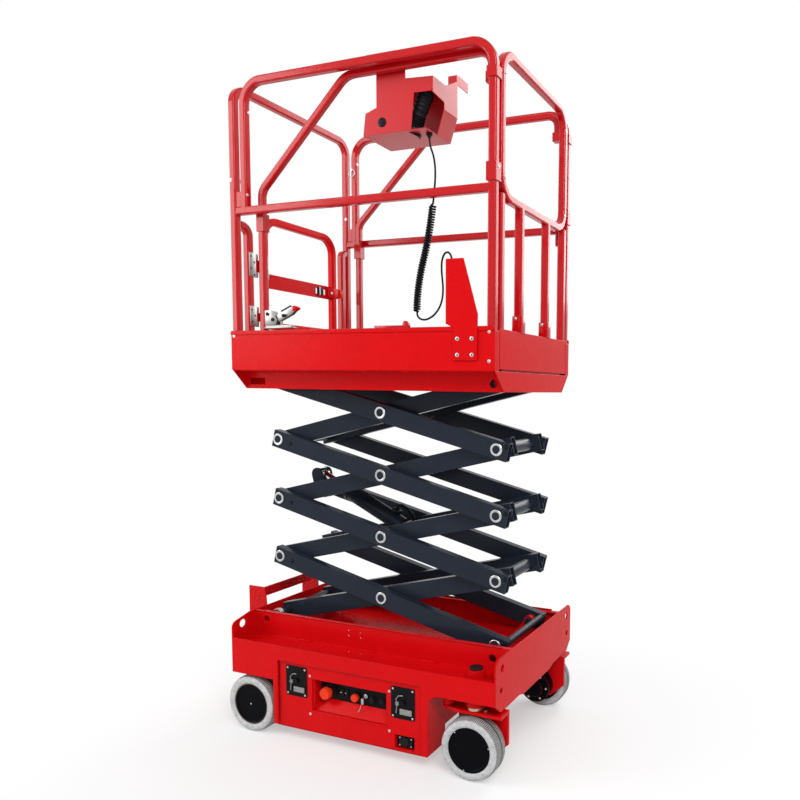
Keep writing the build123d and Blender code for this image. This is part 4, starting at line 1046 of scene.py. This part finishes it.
@dataclass
class SideStations:
    """Ground controls, lever plates and charger socket on the near side, and the chassis's seams.

    Attributes:
        plate_y: outer face of the lever plates.
        panel_y: outer face of the recessed control panel.
        door_y: outer face of the service door.
        socket_y: outer face of the charger socket.
        plates: x and z ranges of the lever plates.
        inset: distance of a lever plate's screws from its edges.
        pivot: x and z from a lever plate's lower middle to the lever's pivot.
        knobs: x, z, radius and length of the round knobs.
        toggles_x: places of the two toggle switches.
        stop_at: x and z of the stop button's collar.
        lens_at: x and z of the red lens.
        key_at: x and z of the key switch.
        pilot_at: x and z of the small bright stud beside them.
        frame: x and z ranges of the control station's frame screws.
        seams: y and z of the chassis's bent edges.
        rim: y and z of the toe boards' upper edges.
        weld_x: middles of the ledge's stitch welds.
        wall_rivets: x and z of the rivets on the wall.
        top_rivets: x and y of the rivets on the ledge.
        socket_at: x and z of the charger's cover.
    """

    plate_y: float = -372.0
    panel_y: float = -322.0
    door_y: float = -370.0
    socket_y: float = -364.0
    plates: tuple[tuple[float, float, float, float], ...] = ((-324, -223, 185, 305), (162, 264, 179, 300))
    inset: float = 9.0
    pivot: Pair = (-22, 58)
    knobs: tuple[tuple[float, float, float, float], ...] = ((48, 204, 12, 10), (92, 206, 9, 8))
    toggles_x: Pair = (-92, -70)
    stop_at: Pair = (-151, 208)
    lens_at: Pair = (-27, 204)
    key_at: Pair = (16, 214)
    pilot_at: Pair = (118, 190)
    frame: tuple[Pair, Pair] = ((-209, 154), (124, 276))
    seams: tuple[Pair, Pair] = ((376.5, 360.6), (251.2, 459.8))
    rim: Pair = (363, 1608.6)
    weld_x: Triple = (-327, -25, 257)
    wall_rivets: tuple[Pair, ...] = ((-115, 433), (-115, 411), (-60, 430), (-58, 410))
    top_rivets: tuple[Pair, ...] = ((-90, -284), (-31, -287))
    socket_at: Pair = (219, 89)

    def _levers(self) -> None:
        """Screws, levers and keys of the two black plates."""
        levers, spots = Shape(), []
        for x_low, x_high, z_low, z_high in self.plates:
            spots += four_spots(self.plate_y, (x_low + self.inset, x_high - self.inset),
                                (z_low + self.inset, z_high - self.inset))
            middle = (x_low + x_high) / 2
            front = self.plate_y - 4.2
            x, z = middle + self.pivot[0], z_low + self.pivot[1]
            levers.lathe([(9, 0), (9, 3), (7.6, 5.4), (0, 5.4)], (x, self.plate_y, z), TO_NEAR, 24)
            levers.tube([(x, front, z), (x - 4, front, z + 18), (x + 8, front, z + 32), (x + 26, front, z + 34)],
                        2.4, 10)
            levers.tube([(x, front, z - 2), (x - 4, front, z - 36)], 2.2, 10)
            levers.box((middle - 12, self.plate_y - 4, z_low + 18), (middle + 40, self.plate_y + 0.2, z_low + 40), 1)
            for rise in (24, 30, 36):
                levers.box((middle - 8, self.plate_y - 4.8, z_low + rise - 1),
                           (middle + 36, self.plate_y - 3.8, z_low + rise + 1))
        FastenerField("lever_plate_screws", ZINC, "chassis", head=4.2, height=2.2, sides=16, spots=spots).build()
        levers.piece("plate_levers", DULL_ZINC, "chassis")

    def _controls(self) -> None:
        """Buttons, key switch, toggles, shelf and frame of the ground control station."""
        face, knobs, metal = self.panel_y, Shape(), Shape()
        (stop_x, stop_z), (lens_x, lens_z), (key_x, key_z) = self.stop_at, self.lens_at, self.key_at
        for x, z, radius, length in self.knobs:
            profile = [(radius + 3, 0), (radius + 3, 2), (radius + 0.8, 3), (radius + 0.6, length + 0.4),
                       (radius - 1, length + 1.6), (0, length + 1.6)]
            knobs.lathe(profile, (x, face, z), TO_NEAR, 28)
        for x in self.toggles_x:
            knobs.box((x - 7, face - 4, 196), (x + 7, face, 226), 1)
            metal.tube([(x, face - 3, 210), (x + 1, face - 13, 216)], 1.8, 10)
        knobs.lathe([(29, -0.2), (29, 4), (27, 5), (15, 5)], (stop_x, face, stop_z), TO_NEAR, 36)
        knobs.lathe([(18.5, -0.2), (18.5, 5), (17, 6.5), (12, 6.5)], (lens_x, face, lens_z), TO_NEAR, 32)
        knobs.piece("ground_knobs", PLASTIC, "chassis")
        lens = [(15.6, 5), (15.6, 16), (14.4, 18.4), (11.6, 19.4), (0, 19.8)]
        Shape().lathe(lens, (lens_x, face, lens_z), TO_NEAR, 32).piece("ground_lens", STOP, "chassis")
        metal.lathe([(9, -0.2), (9, 3), (7.4, 4.2), (0, 4.2)], (key_x, face, key_z), TO_NEAR, 24)
        metal.tube([(key_x, face - 3, key_z), (key_x - 1, face - 17, key_z - 2)], 2.0, 10)
        metal.box((key_x - 7, face - 23, key_z - 24), (key_x + 4, face - 21, key_z - 2), 0.8)
        metal.tube([(key_x - 4, face - 22, key_z - 22), (key_x - 12, face - 24, key_z - 46),
                    (key_x - 18, face - 27, key_z - 56)], 1.4, 8)
        x, z = self.pilot_at
        metal.lathe([(5, -0.2), (5, 5), (3.6, 6.4), (0, 6.4)], (x, face, z), TO_NEAR, 18)
        metal.piece("ground_control_metal", ZINC, "chassis")
        shelf = Shape()
        run, rise = 36, 38
        slope = math.hypot(run, rise)
        shelf.prism([(0, 0), (344, 0), (344, slope), (0, slope)], (-200, -358.2, 138.2), FORWARDS, (0, run, rise), 1.4)
        for x in (-196, 140):
            shelf.box((x - 4, -364, 139), (x + 4, -322, 264))
        shelf.tube([(-202, -369, 137), (146, -369, 137)], 3.4, 12)
        shelf.piece("ground_control_shelf", ENAMEL, "chassis")
        FastenerField("ground_frame_screws", ZINC, "chassis", head=5.4, height=2.8, sides=16,
                      spots=four_spots(self.door_y, *self.frame)).build()

    def _sheets(self) -> None:
        """Rounded edges of door, ledges, walls and toe boards, and the skirt's strips in front of the rear wheels."""
        front = self.door_y + 0.6
        hem = Shape().tube([(-354, front, 58), (-354, front, 316), (289, front, 316)], 2.4, 10)
        hem.piece("service_door_hem", SHADED_RAIL_ENAMEL, "chassis")
        edges, rim = Shape(), Shape()
        for side, _ in SIDES:
            for y, z in self.seams:
                edges.tube([(-578, side * y, z), (556, side * y, z)], 3.2, 10)
            y, z = self.rim
            rim.tube([(-570, side * y, z), (570, side * y, z)], 3.2, 10)
        edges.piece("chassis_bent_edges", SHADED_RAIL_ENAMEL, "chassis")
        rim.piece("toe_board_rims", SHADED_RAIL_ENAMEL, "platform")
        skirt = Shape()
        for side, _ in SIDES:
            low, high = sorted((side * 373.8, side * 380))
            skirt.box((-382, low, 58), (-359, high, 320), 1)
        skirt.piece("skirt_strips", ENAMEL, "chassis")

    def _ledge(self) -> None:
        """Stitch welds and small rivets along the chassis's side ledge."""
        welds = Shape()
        for side, _ in SIDES:
            low, high = sorted((side * 249.4, side * 259))
            for x in self.weld_x:
                welds.box((x - 31, low, 361.2), (x + 31, high, 367), 2.2)
        welds.piece("ledge_welds", ENAMEL, "chassis")
        spots = [((x, -250, z), TO_NEAR) for x, z in self.wall_rivets]
        spots += [((x, y, 362), UPWARDS) for x, y in self.top_rivets]
        FastenerField("ledge_rivets", ZINC, "chassis", head=2.6, height=1.6, sides=10, spots=spots).build()

    def _socket(self) -> None:
        """Charger socket with its sprung cover."""
        x, z = self.socket_at
        cover = Shape().box((x - 29, self.socket_y, z - 19), (x + 30, -352, z + 19), 3)
        cover.lathe([(17, 0), (17, 4), (15, 6), (0, 6)], (x, self.socket_y, z), TO_NEAR, 28)
        cover.piece("charger_cover", PLASTIC, "chassis")
        FastenerField("charger_screws", ZINC, "chassis", head=2.8, height=1.4, sides=12,
                      spots=four_spots(self.socket_y, (x - 24, x + 25), (z - 14, z + 14))).build()

    def build(self) -> None:
        """Makes the near side's fittings."""
        for part in (self._levers, self._controls, self._sheets, self._ledge, self._socket):
            part()


@dataclass
class GateHardware:
    """Hinge leaves, their screws and the sliding latch of the rear gate.

    Attributes:
        face_x: face of the gate's tubes towards the platform.
        hinges: lowest and highest point of each hinge.
        leaves: body, and lowest and highest y, of the leaves by name.
        screw_drops: distance of the screws from the leaf's top.
        slot: x, y and z ranges of the thin black block painted as the shade in the gate bar's slot.
        pin_at: x and y of the upright pin in the slot.
        stud_at: y and z of the latch's stud.
    """

    face_x: float = -540.0
    hinges: tuple[Pair, ...] = ((1834, 1926), (1637, 1716))
    leaves: tuple[tuple[str, str, float, float], ...] = (("fixed", "platform", -296, -262),
                                                         ("moving", "gate", -232, -190))
    screw_drops: tuple[float, ...] = (14, 37, 62, 86)
    slot: tuple[Triple, Triple] = ((-547, 116, 1812), (-545.2, 161, 1846))
    pin_at: Pair = (-544.6, 134)
    stud_at: Pair = (204, 1827)

    def build(self) -> None:
        """Makes the leaves on both sides of each hinge, and the latch."""
        for name, body, y_low, y_high in self.leaves:
            leaves, spots = Shape(), []
            for low, high in self.hinges:
                leaves.box((self.face_x, y_low, low), (self.face_x + 3, y_high, high), 0.6)
                for step, drop in enumerate(self.screw_drops):
                    if high - drop > low + 4:
                        sway = 8 if step % 2 else -8
                        spots.append(((self.face_x + 3, (y_low + y_high) / 2 + sway, high - drop), FORWARDS))
            leaves.piece(f"hinge_leaves_{name}", DULL_ZINC, body)
            FastenerField(f"hinge_screws_{name}", PLASTIC, body, head=3.8, height=1.4, sides=14, spots=spots).build()
        # Painted shade: a thin black block on the bar's face stands for the dark slot.
        Shape().box(*self.slot, 0.6).piece("gate_slot_shade", PLASTIC, "gate")
        pin = Shape().tube([(*self.pin_at, 1811), (*self.pin_at, 1847)], 3.4, 14)
        pin.lathe([(6.4, 0), (6.4, 1.4), (4.4, 3.2), (0, 3.8)], (self.face_x + 4, *self.stud_at), FORWARDS, 20)
        pin.piece("gate_latch_pin", ZINC, "gate")
        tongue = Shape().box((self.face_x - 0.2, 184, 1806), (self.face_x + 4, 258, 1852), 1)
        tongue.box((self.face_x - 0.2, 256, 1812), (self.face_x + 6, 287, 1850), 1)
        tongue.piece("gate_latch_tongue", ENAMEL, "gate")


@dataclass
class RailHardware:
    """Bolts of the guard rails, toe boards and cable guard, the balusters' feet and the deck's pedal.

    Attributes:
        guard_y: outer face of the cable guard.
        foot_y: places of the balusters across the machine.
        front_bolts: the far side's bolts that face forwards on the fixed rails. The near side's are mirrored.
        outer_bolts: the same for bolts that face outwards.
        inner_bolts: the same for bolts that face the middle.
        sliding_bolts: the same for the sliding rails, whose bolts face forwards.
        ring_x: place of the locking ring along the machine.
        ring_z: its height.
        ring_radius: its radius.
    """

    guard_y: float = -369.0
    foot_y: Pair = (-133.0, 121.0)
    front_bolts: tuple[Triple, ...] = ((574, 345, 2136), (-486, 339, 2436), (-487, 353, 2127))
    outer_bolts: tuple[Triple, ...] = ((-558, 363, 1592), (552, 363, 1592), (552, 363, 1493), (-560, 360, 2188))
    inner_bolts: tuple[Triple, ...] = ((-546, 330, 2188),)
    sliding_bolts: tuple[Triple, ...] = ((573, 289, 2115), (573, 291, 2456))
    ring_x: float = -506.0
    ring_z: float = 2396.0
    ring_radius: float = 17.0

    def _bolts(self) -> None:
        """One field of bolts for each body."""
        fixed, sliding = [], []
        for side, _ in SIDES:
            for spots, places, way in ((fixed, self.front_bolts, FORWARDS),
                                       (fixed, self.outer_bolts, (0, side, 0)),
                                       (fixed, self.inner_bolts, (0, -side, 0)),
                                       (sliding, self.sliding_bolts, FORWARDS)):
                spots += [((x, side * y, z), way) for x, y, z in places]
        sliding += [((553, y - 18, 1655), TO_NEAR) for y in self.foot_y]
        for name, body, spots in (("fixed", "platform", fixed), ("sliding", "extension", sliding)):
            FastenerField(f"rail_bolts_{name}", ZINC, body, head=5, height=3.4, sides=6, washer=6.6,
                          spots=spots).build()

    def _guard(self) -> None:
        """Four socket screws at the cable guard's foot, with thin black hexagons on their heads painted as the shade in
        the sockets.
        """
        places, head = ((434, 490), (1514, 1569)), 3.0
        FastenerField("guard_screws", ZINC, "platform", head=7.4, height=head, sides=20,
                      spots=four_spots(self.guard_y, *places)).build()
        # Painted shade: thin black hexagons on the heads stand for the dark hex sockets.
        FastenerField("guard_screw_socket_shade", PLASTIC, "platform", head=3.4, height=0.5, sides=6,
                      spots=four_spots(self.guard_y - head, *places)).build()

    def build(self) -> None:
        """Makes the bolts, the sleeves at the balusters' feet and the sliding deck's pedal."""
        self._bolts()
        self._guard()
        feet = Shape()
        for y in self.foot_y:
            feet.box((539, y - 18, 1603), (577, y + 19, 1664), 1.2)
        feet.piece("baluster_feet", SHADED_RAIL_ENAMEL, "extension")
        pull = Shape()
        pull.lathe([(6, -0.3), (6, 7), (4.6, 9), (0, 9)], (self.ring_x, 330, 2411), TO_NEAR, 20)
        turns = [math.tau * step / 24 for step in range(25)]
        loop = [(x, 322, z) for x, z in around(self.ring_x, self.ring_z, self.ring_radius, turns)]
        pull.tube(loop, 1.8, 8)
        pull.piece("locking_ring", ZINC, "platform")
        pedal = Shape().box((90, -360.4, 1596), (226, -350, 1620), 1.4)
        pedal.upright([(208, 1612), (236, 1612), (236, 1620), (226, 1634), (214, 1636), (208, 1624)], -350, 10, 1)
        pedal.piece("deck_pedal", SHADED_RAIL_ENAMEL, "platform")


@dataclass
class DeckLatch:
    """Toggle clamp that holds the sliding deck: links, pins and a red grip."""

    y: float = -308.0

    def build(self) -> None:
        """Makes the clamp's parts on top of its plain core."""
        clamp = Shape()
        cheek = [(-443, 1634), (-392, 1634), (-384, 1652), (-400, 1684), (-414, 1692), (-443, 1692)]
        handle = [(-400, 1640), (-318, 1674), (-298, 1690), (-302, 1704), (-324, 1702), (-412, 1664)]
        for outline, y_low, y_high, soften in ((cheek, -10, 13, 0.6), (handle, -5, 8, 0.5)):
            for y in (y_low, y_high):
                clamp.upright(outline, self.y + y, 3, soften)
        clamp.box((-443, self.y - 17, 1622), (-312, self.y + 17, 1626), 0.6)
        clamp.tube([(-372, self.y, 1634), (-372, self.y, 1652)], 5, 12)
        clamp.piece("toggle_links", DULL_ZINC, "extension")
        pins = Shape()
        for x, z in ((-430, 1678), (-404, 1656), (-352, 1670)):
            pins.lathe([(0, -17), (6, -17), (7, -16), (7, -12.5), (4, -12.5), (4, 12.5), (7, 12.5), (7, 16), (6, 17),
                        (0, 17)], (x, self.y, z), (0, 1, 0), 18)
        pins.lathe([(0, 0), (9, 0), (9, 7), (0, 7)], (-340, self.y, 1626), UPWARDS, 6)
        pins.upright([(-366, 1684), (-322, 1703), (-325, 1709), (-369, 1690)], self.y + 8, 16, 0.5)
        pins.piece("toggle_pins", PLASTIC, "extension")
        grip = Shape().upright([(-312, 1686), (-290, 1692), (-287, 1700), (-304, 1708), (-312, 1706)],
                               self.y + 10, 20, 2)
        grip.piece("toggle_grip", ENAMEL, "extension")


@dataclass
class UpperControls:
    """Bellows and grip rings of the joystick, the control box's plug and the cord's two gland nuts.

    Attributes:
        lean: direction of the joystick.
        foot: middle of the bellows' foot.
        folds: number of the bellows' folds.
        fold: height of one fold.
        grip_foot: point on the handle's line from which the grip rings are placed.
    """

    lean: Triple = (0.42, 0.0, 0.91)
    foot: Triple = (180.0, -240.0, 2330.4)
    folds: int = 6
    fold: float = 9.0
    grip_foot: Triple = (203.0, -240.0, 2379.0)

    def build(self) -> None:
        """Makes the parts on the control box."""
        profile = [(35, -16), (35.4, -2), (33, 0.4)]
        for step in range(self.folds):
            low = self.fold * step
            radius = 29 - 0.07 * low
            profile += [(radius + 1.0, 1.4 + low), (radius + 4.6, 5.6 + low)]
        profile += [(26.4, 58.4), (24, 59.4)]
        Shape().lathe(profile, self.foot, self.lean, 36).piece("joystick_bellows", PLASTIC, "platform", 25)
        base, way = Vector(self.grip_foot), Vector(self.lean).normalized()
        grip = Shape()
        for step in range(4):
            grow = step * 0.6
            grip.lathe([(25.6 + grow, 0), (27.6 + grow, 3), (27.6 + grow, 9), (25.8 + grow, 12)],
                       tuple(base + way * (14 + step * 15)), self.lean, 32)
        grip.lathe([(27.9, 0), (27.6, 3), (22, 6.5), (0, 7)], tuple(base + way * 81), self.lean, 32)
        grip.piece("joystick_grips", PLASTIC, "platform")
        plug = Shape().lathe([(17, 0), (17, 1.6), (15, 3), (6, 3.4), (0, 3.4)], (81, -290, 2352), TO_NEAR, 32)
        plug.piece("box_plug", PLASTIC, "platform")
        nut = Shape().lathe([(0, 0), (13, 0), (13, 7), (10, 9), (0, 9)], (247, -240, 2312), (0, 0, -1), 6)
        nut.lathe([(0, 0), (12, 0), (12, 7), (9.6, 8.4), (0, 8.4)], (403, -347, 1785.6), UPWARDS, 6)
        nut.piece("gland_nuts", PLASTIC, "platform")


@dataclass
class Studio:
    """Camera of the photograph, pale floor and soft lights.

    Attributes:
        camera_at: the camera's place, in chassis millimetres.
        azimuth: its turn, in degrees.
        pitch: its tilt, in degrees.
        roll: its lean, in degrees.
        focal_px: focal length in pixels of the photograph.
        principal: pixel that the camera's axis meets.
        picture: side of the photograph in pixels.
        sensor: sensor width in millimetres.
        fill: strength of the world's light on the object.
        floor_half: half the floor's side, in metres.
        fade: distances from the middle, in metres, between which the floor runs into white.
        floor_white: share of white on the floor near the machine.
    """

    camera_at: Triple = (1649.8, -2592.4, 1401.3)
    azimuth: float = 21.216
    pitch: float = -4.877
    roll: float = 0.815
    focal_px: float = 727.04
    principal: Pair = (551.8, 451.3)
    picture: float = 800.0
    sensor: float = 36.0
    fill: float = 0.5
    floor_half: float = 15.0
    fade: Pair = (0.55, 1.9)
    floor_white: float = 0.45

    def camera(self) -> None:
        """Sets up the photograph's camera."""
        turn, tilt, lean = (math.radians(value) for value in (self.azimuth, self.pitch, self.roll))
        forward = Vector((-math.sin(turn) * math.cos(tilt), math.cos(turn) * math.cos(tilt), math.sin(tilt)))
        right = Vector((math.cos(turn), math.sin(turn), 0))
        up = right.cross(forward)
        right, up = right * math.cos(lean) + up * math.sin(lean), up * math.cos(lean) - right * math.sin(lean)
        data = bpy.data.cameras.new("photo_camera")
        data.sensor_width = self.sensor
        data.lens = self.focal_px / self.picture * self.sensor
        data.shift_x = -(self.principal[0] - self.picture / 2) / self.picture
        data.shift_y = (self.principal[1] - self.picture / 2) / self.picture
        data.clip_end = 60
        made = bpy.data.objects.new("photo_camera", data)
        rows = Matrix((right, up, -forward)).transposed().to_4x4()
        made.matrix_world = Matrix.Translation(place(*self.camera_at)) @ rows
        bpy.context.scene.collection.objects.link(made)
        bpy.context.scene.camera = made

    def lamp(self, name: str, at: Triple, target: Triple, size: float, watts: float) -> None:
        """Adds one soft square lamp.

        Args:
            name: the lamp's name.
            at: its place in metres.
            target: point it faces, in metres.
            size: side of the square in metres.
            watts: its power.
        """
        data = bpy.data.lights.new(name, "AREA")
        data.size = size
        data.energy = watts
        made = bpy.data.objects.new(name, data)
        made.location = at
        made.rotation_euler = (Vector(target) - Vector(at)).to_track_quat("-Z", "Y").to_euler()
        bpy.context.scene.collection.objects.link(made)

    @staticmethod
    def _bright(wires: Wiring) -> Socket:
        """1 for rays that show the background to the camera, directly, in a gloss or through glass."""
        rays = wires.add("ShaderNodeLightPath").outputs
        seen = wires.math("MAXIMUM", rays["Is Camera Ray"], rays["Is Glossy Ray"])
        return wires.math("MAXIMUM", seen, rays["Is Transmission Ray"])

    def world(self) -> None:
        """Pale surroundings, white where the camera sees them."""
        world = bpy.data.worlds.new("studio_air")
        world.use_nodes = True
        wires = Wiring(world.node_tree)
        wires.fill(world.node_tree.nodes["Background"], {
            "Color": (1, 1, 1, 1), "Strength": wires.ramp(self._bright(wires), self.fill, 1.0)})
        bpy.context.scene.world = world

    def floor(self) -> None:
        """A pale floor that keeps the shadow near the machine and runs into white further out."""
        data = bpy.data.meshes.new("studio_floor")
        half = self.floor_half
        data.from_pydata([(-half, -half, 0), (half, -half, 0), (half, half, 0), (-half, half, 0)], [], [(0, 1, 2, 3)])
        made = bpy.data.objects.new("studio_floor", data)
        material = bpy.data.materials.new("studio_floor")
        material.use_nodes = True
        wires = Wiring(material.node_tree)
        shader = material.node_tree.nodes["Principled BSDF"]
        wires.fill(shader, {"Base Color": (0.86, 0.86, 0.86, 1), "Roughness": 0.9})
        where = wires.add("ShaderNodeTexCoord").outputs["Object"]
        reach = wires.add("ShaderNodeVectorMath", {0: where}, operation="LENGTH").outputs["Value"]
        fade = wires.ramp(reach, self.floor_white, 1.0, *self.fade, "SMOOTHSTEP")
        mix = wires.add("ShaderNodeMixShader", {
            "Fac": wires.math("MULTIPLY", fade, self._bright(wires)), 1: shader.outputs["BSDF"],
            2: wires.add("ShaderNodeEmission").outputs["Emission"]})
        wires.fill(material.node_tree.nodes["Material Output"], {"Surface": mix.outputs["Shader"]})
        data.materials.append(material)
        bpy.context.scene.collection.objects.link(made)

    def build(self) -> None:
        """Sets up camera, lights, world and floor."""
        self.camera()
        self.world()
        self.floor()
        self.lamp("key_lamp", at=(3.2, -3.6, 4.6), target=(0, 0, 1.2), size=2.6, watts=190)
        self.lamp("side_lamp", at=(-3.6, -2.6, 2.8), target=(0, 0, 1.0), size=2.6, watts=110)
        self.lamp("back_lamp", at=(1.2, 4.0, 3.6), target=(0, 0, 1.4), size=3.0, watts=120)
        bpy.context.scene.view_settings.view_transform = "Standard"


def paint_nodes(nodes: dict[str, bpy.types.Object]) -> None:
    """Gives every CAD node its finish.

    Args:
        nodes: CAD objects by node name.
    """
    for finish, names in NODE_FINISHES.items():
        for name in names:
            node = nodes[name]
            node.data.materials.clear()
            node.data.materials.append(finish.material())
            LOG.info("%s painted as %s", name, finish.name)


def main() -> None:
    """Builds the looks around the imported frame."""
    logging.basicConfig(level=logging.INFO, format="%(name)s: %(message)s")
    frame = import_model()
    Studio().build()
    paint_nodes(frame["nodes"])
    for assembly in (ControlCord, RunningGear, ScissorPins, LiftCylinder, SideStations, GateHardware, RailHardware,
                     DeckLatch, UpperControls):
        assembly().build()


if __name__ == "__main__":
    main()
